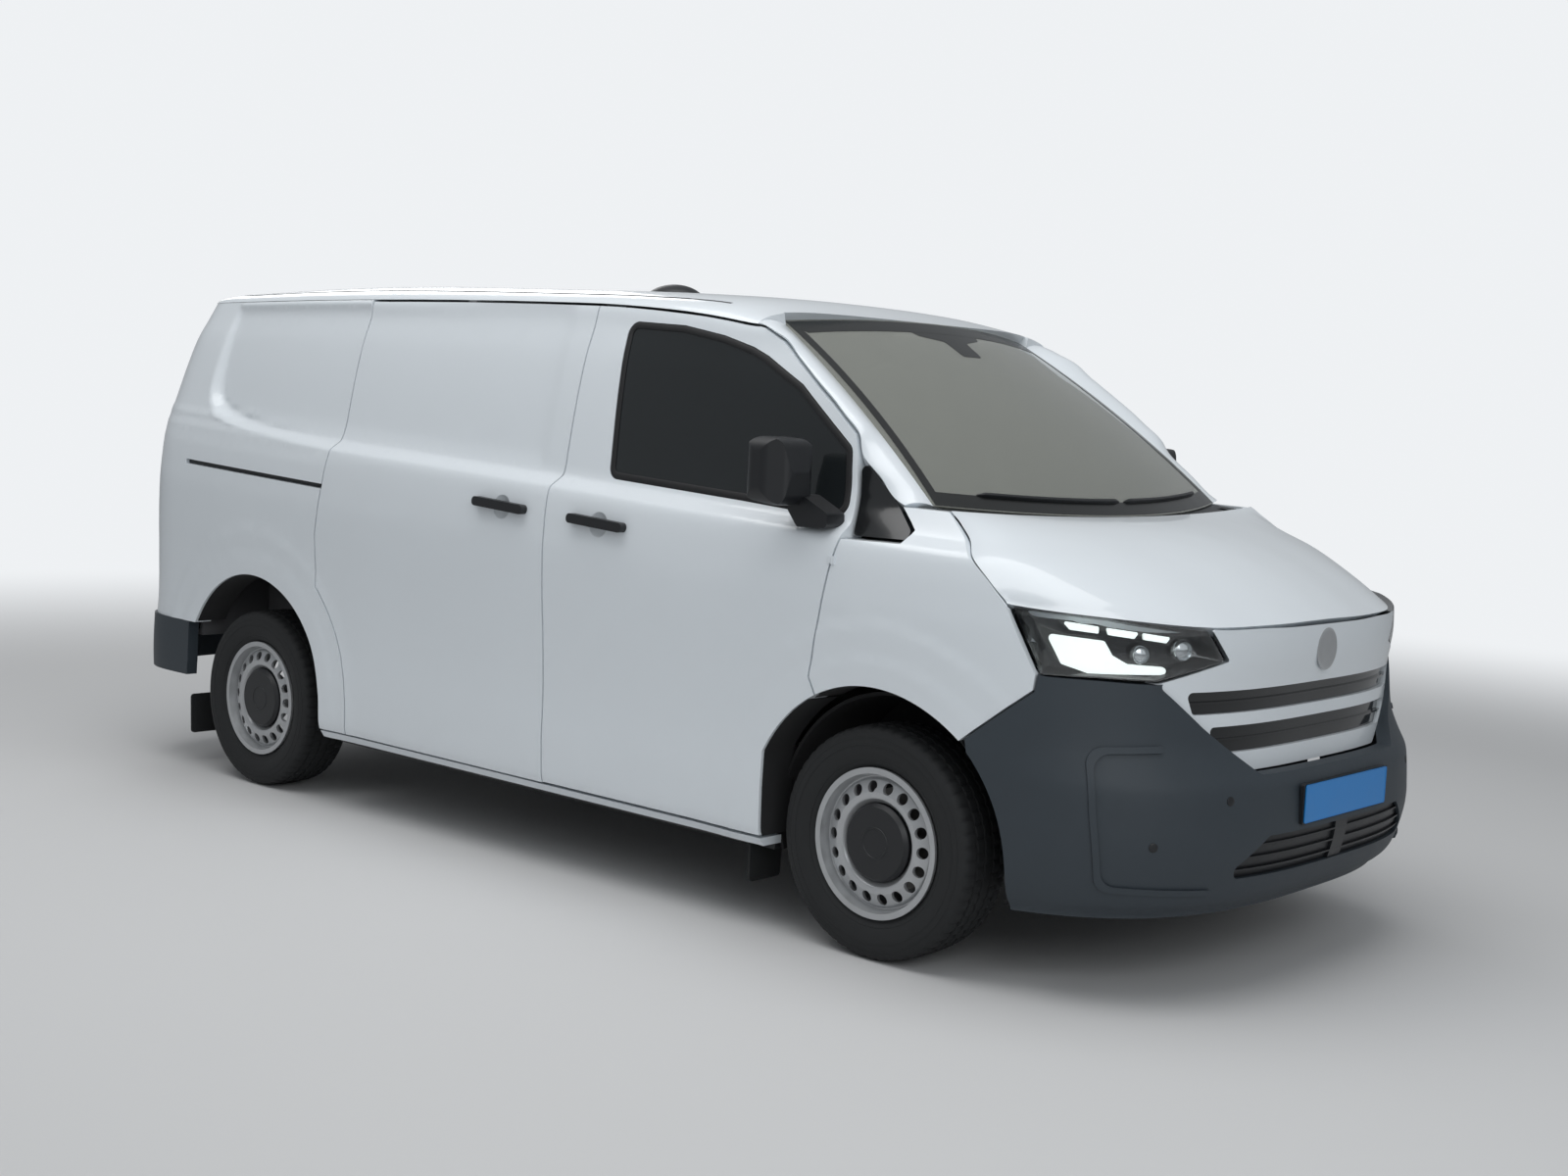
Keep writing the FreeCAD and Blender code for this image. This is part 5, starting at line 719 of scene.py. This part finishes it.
front_plate_z = 0.542
plate_gap = 0.004
front_spots = [(y, front_plate_z + z) for y in (-plate_width / 2, 0.0, plate_width / 2)
               for z in (-plate_height / 2, 0, plate_height / 2)]
front_plate_x = max(front.spot(y, z)[0].x for y, z in front_spots) + plate_gap
plate("front_plate", front_plate_x, 1, front_plate_z, "shell")
disc_z = 0.958
disc_steps = 48
disc_rows = [(0.062, -0.004), (0.062, 0.001), (0.058, 0.003), (0.050, 0.0035), (0.004, 0.0045)]
hit, normal = front.spot(0.0, disc_z)
rings = [[hit + normal * out + Vector((0, math.cos(t), 0)) * radius + Vector((0, 0, math.sin(t))) * radius
          for t in turns(disc_steps)] for radius, out in disc_rows]
lofted("front_disc", rings, steel, "shell")
sensor_spots = [(0.560, 0.575), (0.770, 0.455)]
sensor_rows = [(0.013, -0.004), (0.013, 0.0012), (0.011, 0.0022), (0.002, 0.0026)]
sensor_steps = 24
for side, way in sides:
    for number, (y, z) in enumerate(sensor_spots):
        hit, normal = front.spot(way * y, z)
        turned_on("bumper_sensor_%s_%d" % (side, number), hit, normal, sensor_rows, sensor_steps, black,
                  "shell")

# Roof: a line over the doors on each side, drawn in towards the front; its places are in millimetres
roof = top_view("roof_panel")
roof_line_start, roof_line_end, roof_line_run = -2050, 700, 90
roof_line_y = 0.735
roof_line_bend = 100
roof_line_draw = 0.00002
roof_line_power = 1.15
roof_line_width, roof_line_height, roof_line_step = 0.012, 0.0012, 0.05
for side, way in sides:
    line = [(x / 1000, way * (roof_line_y - roof_line_draw * max(0, x - roof_line_bend) ** roof_line_power))
            for x in range(roof_line_start, roof_line_end, roof_line_run)]
    made = bead("roof_line_" + side, roof, line, roof_line_width, roof_line_height, seal_rubber, "shell",
                step=roof_line_step)

# Sliding door's rail in the rear quarter
rail = [(-2.036, 1.2445), (-1.560, 1.222), (-1.086, 1.2005)]
rail_width, rail_height, rail_sink, rail_step = 0.016, 0.002, 0.020, 0.04
made = bead("slide_rail", right_side("quarter_right"), rail, rail_width, rail_height, black, "shell",
            sink=rail_sink, step=rail_step)

# Flaps behind the wheels
flap_front_x, flap_rear_x = 1.060, -2.045
flap_thickness = 0.008
flap_corner = 0.014
flap_edge = [(0.805, 0.130), (0.945, 0.130), (0.950, 0.290), (0.800, 0.290)]
for label, x, way, body in wheels:
    flap_x = flap_front_x if x > 0 else flap_rear_x
    rings = [[Vector((flap_x - depth, way * p.x, p.y)) for p in rounded(flap_edge, flap_corner)]
             for depth in (0.0, flap_thickness)]
    lofted("mud_flap_" + label, rings, rubber, "shell")

# Rear: plate, grip, wiper, the tail lamps' ribs
rear = rear_view("tailgate", "tailgate_glass", "rear_bumper")
back_plate_z = 0.98
plate("rear_plate", rear.spot(0.0, back_plate_z)[0].x - plate_gap, -1, back_plate_z, "rear_gate")
grip_edge = [(-0.32, 1.085), (0.32, 1.085), (0.32, 1.125), (-0.32, 1.125)]
grip_corner = 0.010
grip_lift, grip_thickness, grip_step = 0.012, 0.016, 0.03
made = patch("gate_grip", rear, rounded(grip_edge, grip_corner), grip_lift, grip_thickness, black,
             "rear_gate", step=grip_step)
rear_arm = [(0.0, 1.245), (-0.14, 1.290), (-0.34, 1.335), (-0.43, 1.345)]
rear_arm_width = rear_arm_height = 0.014
made = bead("rear_wiper", rear, curve_through(rear_arm), rear_arm_width, rear_arm_height, black, "rear_gate",
            sink=wiper_sink, step=wiper_step, taper=wiper_taper)
rib_heights = (0.985, 1.095, 1.205, 1.315)
rib_inner_y, rib_outer_y = 0.820, 0.866
rib_width, rib_height, rib_step = 0.008, 0.002, 0.006
for side, way in sides:
    lamp = rear_view("tail_lamp_" + side)
    for number, z in enumerate(rib_heights):
        line = [(way * rib_inner_y, z), (way * rib_outer_y, z)]
        made = bead("tail_lamp_rib_%s_%d" % (side, number), lamp, line, rib_width, rib_height, gloss_black,
                    "shell", step=rib_step)

# Seats: crowned pads with sewn channels, in place of the plain solids
pad_power = 5.0
pad_side_draw = 0.035
pad_end_draw = 0.03
pad_under_share = -0.3
pad_face_start = 0.2
channel_depth = 0.011
channel_half = 0.006
pad_smooth_degrees = 60.0
pad_merge_distance = 1e-5


def pad(name, middle, half, lean, crown, channels, material, body, steps=26):
    """Padded form: a rounded block that bulges on its faces, with channels across its upper face."""
    turn = Matrix.Rotation(math.radians(lean), 3, "Y")
    work = bmesh.new()
    for axis in range(3):
        for sign in (-1, 1):
            grid = []
            for i in range(steps + 1):
                row = []
                for j in range(steps + 1):
                    q = [0.0, 0.0, 0.0]
                    q[axis] = sign
                    q[(axis + 1) % 3] = math.sin((i / steps - 0.5) * math.pi)
                    q[(axis + 2) % 3] = math.sin((j / steps - 0.5) * math.pi)
                    size = sum(abs(c) ** pad_power for c in q) ** (1 / pad_power)
                    q = [c / size for c in q]
                    swell = crown * (1 - q[0] ** 2) * (1 - q[1] ** 2)
                    point = Vector((q[0] * half[0] * (1 - pad_side_draw * q[1] ** 4),
                                    q[1] * half[1] * (1 - pad_end_draw * q[0] ** 4),
                                    q[2] * half[2] + swell * (1 if q[2] > 0 else pad_under_share)))
                    if q[2] > pad_face_start:
                        fade = min(1, (q[2] - pad_face_start) * 2)
                        for channel_axis, place in channels:
                            gap = (q[channel_axis] - place) * half[channel_axis]
                            point.z -= channel_depth * math.exp(-(gap / channel_half) ** 2) * fade
                    row.append(work.verts.new(turn @ point + Vector(middle)))
                grid.append(row)
            for i in range(steps):
                for j in range(steps):
                    work.faces.new((grid[i][j], grid[i + 1][j], grid[i + 1][j + 1], grid[i][j + 1]))
    bmesh.ops.remove_doubles(work, verts=work.verts, dist=pad_merge_distance)
    bmesh.ops.recalc_face_normals(work, faces=work.faces)
    mesh = bpy.data.meshes.new(name)
    work.to_mesh(mesh)
    work.free()
    piece = new_piece(name, mesh, material, body, pad_smooth_degrees)
    return piece


cushion_x, cushion_z, cushion_half_x, cushion_half_z = 0.560, 0.790, 0.262, 0.052
cushion_inset, cushion_lean, cushion_crown = 0.012, -4, 0.018
cushion_channels = [(0, -0.55), (0, 0.45), (1, -0.62), (1, 0.62)]
back_x, back_z, back_half_x, back_half_z = 0.322, 1.110, 0.262, 0.050
back_inset, back_lean, back_crown = 0.014, -78, 0.016
back_channels = [(0, -0.45), (0, 0.40), (1, -0.62), (1, 0.62)]
head_x, head_z, head_half = 0.248, 1.468, (0.060, 0.104, 0.030)
head_lean, head_crown, head_steps = -80, 0.010, 18
post_x, post_out_y, post_radius, post_steps = 0.258, 0.052, 0.006, 14
post_low_z, post_high_z = 1.345, 1.430
plinth_start_x, plinth_end_x = 0.300, 0.830
plinth_corner = 0.030
plinth_foot_rows = [(0, 0.045), (0.02, 0.038)]
plinth_top_rows = [(0.720, 0.050), (0.738, 0.060)]


def seat(name, node, low_y, high_y, heads):
    """Cushion, back and head rests between low_y and high_y, on a plinth."""
    middle_y, half_y = (low_y + high_y) / 2, (high_y - low_y) / 2
    cushion = pad(name + "_cushion", (cushion_x, middle_y, cushion_z),
                  (cushion_half_x, half_y - cushion_inset, cushion_half_z), cushion_lean, cushion_crown,
                  cushion_channels, seat_cloth, "shell")
    pad(name + "_back", (back_x, middle_y, back_z), (back_half_x, half_y - back_inset, back_half_z),
        back_lean, back_crown, back_channels, seat_cloth, "shell")
    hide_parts(node)
    for number, y in enumerate(heads):
        pad("%s_head_%d" % (name, number), (head_x, y, head_z), head_half, head_lean, head_crown, [(0, 0.0)],
            seat_cloth, "shell", steps=head_steps)
        for post_side in (-1, 1):
            post_y = y + post_side * post_out_y
            rings = [[Vector((post_x + post_radius * math.cos(t), post_y + post_radius * math.sin(t), z))
                      for t in turns(post_steps)] for z in (post_low_z, post_high_z)]
            lofted("%s_post_%d_%d" % (name, number, post_side + 1), rings, bare_steel, "shell")
    foot_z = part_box(node)[0][2]
    rings = []
    for z, inset in [(foot_z + rise, inset) for rise, inset in plinth_foot_rows] + plinth_top_rows:
        outline = rounded([(plinth_start_x + inset, low_y + inset), (plinth_end_x - inset, low_y + inset),
                           (plinth_end_x - inset, high_y - inset), (plinth_start_x + inset, high_y - inset)],
                          plinth_corner)
        rings.append([Vector((p.x, p.y, z)) for p in outline])
    lofted(name + "_plinth", rings, dash_plastic, "shell")


seats = [("driver", "driver_seat", 0.185, 0.655, [0.42]),
         ("bench", "passenger_bench", -0.66, 0.10, [-0.465, -0.095])]
for name, node, low_y, high_y, heads in seats:
    seat(name, node, low_y, high_y, heads)


# Camera at the photograph's angle
camera_place = Vector((4.99867, -5.34238, 1.59423))
camera_yaw = math.radians(131.2517)
camera_pitch = math.radians(-5.3798)
camera_roll = math.radians(2.8296)
camera_lens = 45.078


camera_sensor = 36.0
camera_far = 200.0


def make_camera():
    """Camera at the place, turn and lens fitted to the photograph."""
    ahead = Vector((math.cos(camera_pitch) * math.cos(camera_yaw),
                    math.cos(camera_pitch) * math.sin(camera_yaw), math.sin(camera_pitch)))
    level = ahead.cross(Vector((0, 0, 1))).normalized()
    up = level.cross(ahead)
    right = level * math.cos(camera_roll) + up * math.sin(camera_roll)
    top = up * math.cos(camera_roll) - level * math.sin(camera_roll)
    data = bpy.data.cameras.new("camera")
    data.sensor_width = camera_sensor
    data.lens = camera_lens
    data.clip_end = camera_far
    camera = bpy.data.objects.new("camera", data)
    turn = Matrix((right, top, -ahead)).transposed().to_4x4()
    camera.matrix_world = Matrix.Translation(camera_place) @ turn
    bpy.context.collection.objects.link(camera)
    bpy.context.scene.camera = camera


def area_light(name, place, target, size, power, colour):
    """Rectangular lamp at place that faces target."""
    data = bpy.data.lights.new(name, "AREA")
    data.shape = "RECTANGLE"
    data.size, data.size_y = size
    data.energy = power
    data.color = colour
    lamp = bpy.data.objects.new(name, data)
    lamp.location = place
    lamp.rotation_euler = (Vector(target) - Vector(place)).to_track_quat("-Z", "Y").to_euler()
    bpy.context.collection.objects.link(lamp)


background_colour = (0.86, 0.88, 0.90, 1)
world_colour = (0.92, 0.96, 1.0, 1)
world_strength = 0.36
floor_size = 120
floor_colour = (0.62, 0.62, 0.62)
floor_roughness = 0.9
fade_start = 4.5
fade_end = 10.0


def make_world():
    """Plain light all round, with a pale background for the camera and for glass."""
    world = bpy.data.worlds.new("studio")
    bpy.context.scene.world = world
    world.use_nodes = True
    nodes, links = world.node_tree.nodes, world.node_tree.links
    light = nodes["Background"]
    light.inputs["Color"].default_value = world_colour
    light.inputs["Strength"].default_value = world_strength
    seen = nodes.new("ShaderNodeBackground")
    seen.inputs["Color"].default_value = background_colour
    seen.inputs["Strength"].default_value = 1.0
    path = nodes.new("ShaderNodeLightPath")
    either = nodes.new("ShaderNodeMath")
    either.operation = "MAXIMUM"
    links.new(path.outputs["Is Camera Ray"], either.inputs[0])
    links.new(path.outputs["Is Transmission Ray"], either.inputs[1])
    mix = nodes.new("ShaderNodeMixShader")
    links.new(either.outputs["Value"], mix.inputs["Fac"])
    links.new(light.outputs["Background"], mix.inputs[1])
    links.new(seen.outputs["Background"], mix.inputs[2])
    links.new(mix.outputs["Shader"], nodes["World Output"].inputs["Surface"])


def ground_fade(made):
    """The floor's far part takes the background's colour, for the camera alone."""
    nodes, links = made.node_tree.nodes, made.node_tree.links
    place = nodes.new("ShaderNodeTexCoord")
    reach = nodes.new("ShaderNodeVectorMath")
    reach.operation = "LENGTH"
    links.new(place.outputs["Object"], reach.inputs[0])
    share = nodes.new("ShaderNodeMapRange")
    share.interpolation_type = "SMOOTHSTEP"
    share.inputs["From Min"].default_value = fade_start
    share.inputs["From Max"].default_value = fade_end
    links.new(reach.outputs["Value"], share.inputs["Value"])
    path = nodes.new("ShaderNodeLightPath")
    seen = nodes.new("ShaderNodeMath")
    seen.operation = "MULTIPLY"
    links.new(share.outputs["Result"], seen.inputs[0])
    links.new(path.outputs["Is Camera Ray"], seen.inputs[1])
    far = nodes.new("ShaderNodeEmission")
    far.inputs["Color"].default_value = background_colour
    mix = nodes.new("ShaderNodeMixShader")
    links.new(seen.outputs["Value"], mix.inputs["Fac"])
    links.new(nodes["Principled BSDF"].outputs["BSDF"], mix.inputs[1])
    links.new(far.outputs["Emission"], mix.inputs[2])
    links.new(mix.outputs["Shader"], nodes["Material Output"].inputs["Surface"])


def make_floor():
    """Pale floor that fades into the background."""
    bpy.ops.mesh.primitive_plane_add(size=floor_size)
    ground = bpy.context.object
    ground.name = "floor"
    made = finish("floor", floor_colour, floor_roughness, mottle=0.02, mottle_size=3.0)
    ground_fade(made)
    ground.data.materials.append(made)


make_camera()
make_world()
make_floor()
lights = [("top_light", (0.5, -1.5, 6.0), (0, 0, 0.5), (7.0, 5.0), 235.0, (1, 1, 1)),
          ("front_light", (6.5, -4.0, 3.6), (1.0, 0, 0.8), (4.0, 3.0), 95.0, (0.95, 0.98, 1.0)),
          ("rear_light", (-7.0, 3.5, 4.5), (-1.0, 0, 0.8), (4.0, 3.0), 80.0, (1, 1, 1))]
for name, place, target, size, power, colour in lights:
    area_light(name, place, target, size, power, colour)

bpy.context.scene.view_settings.view_transform = "Standard"
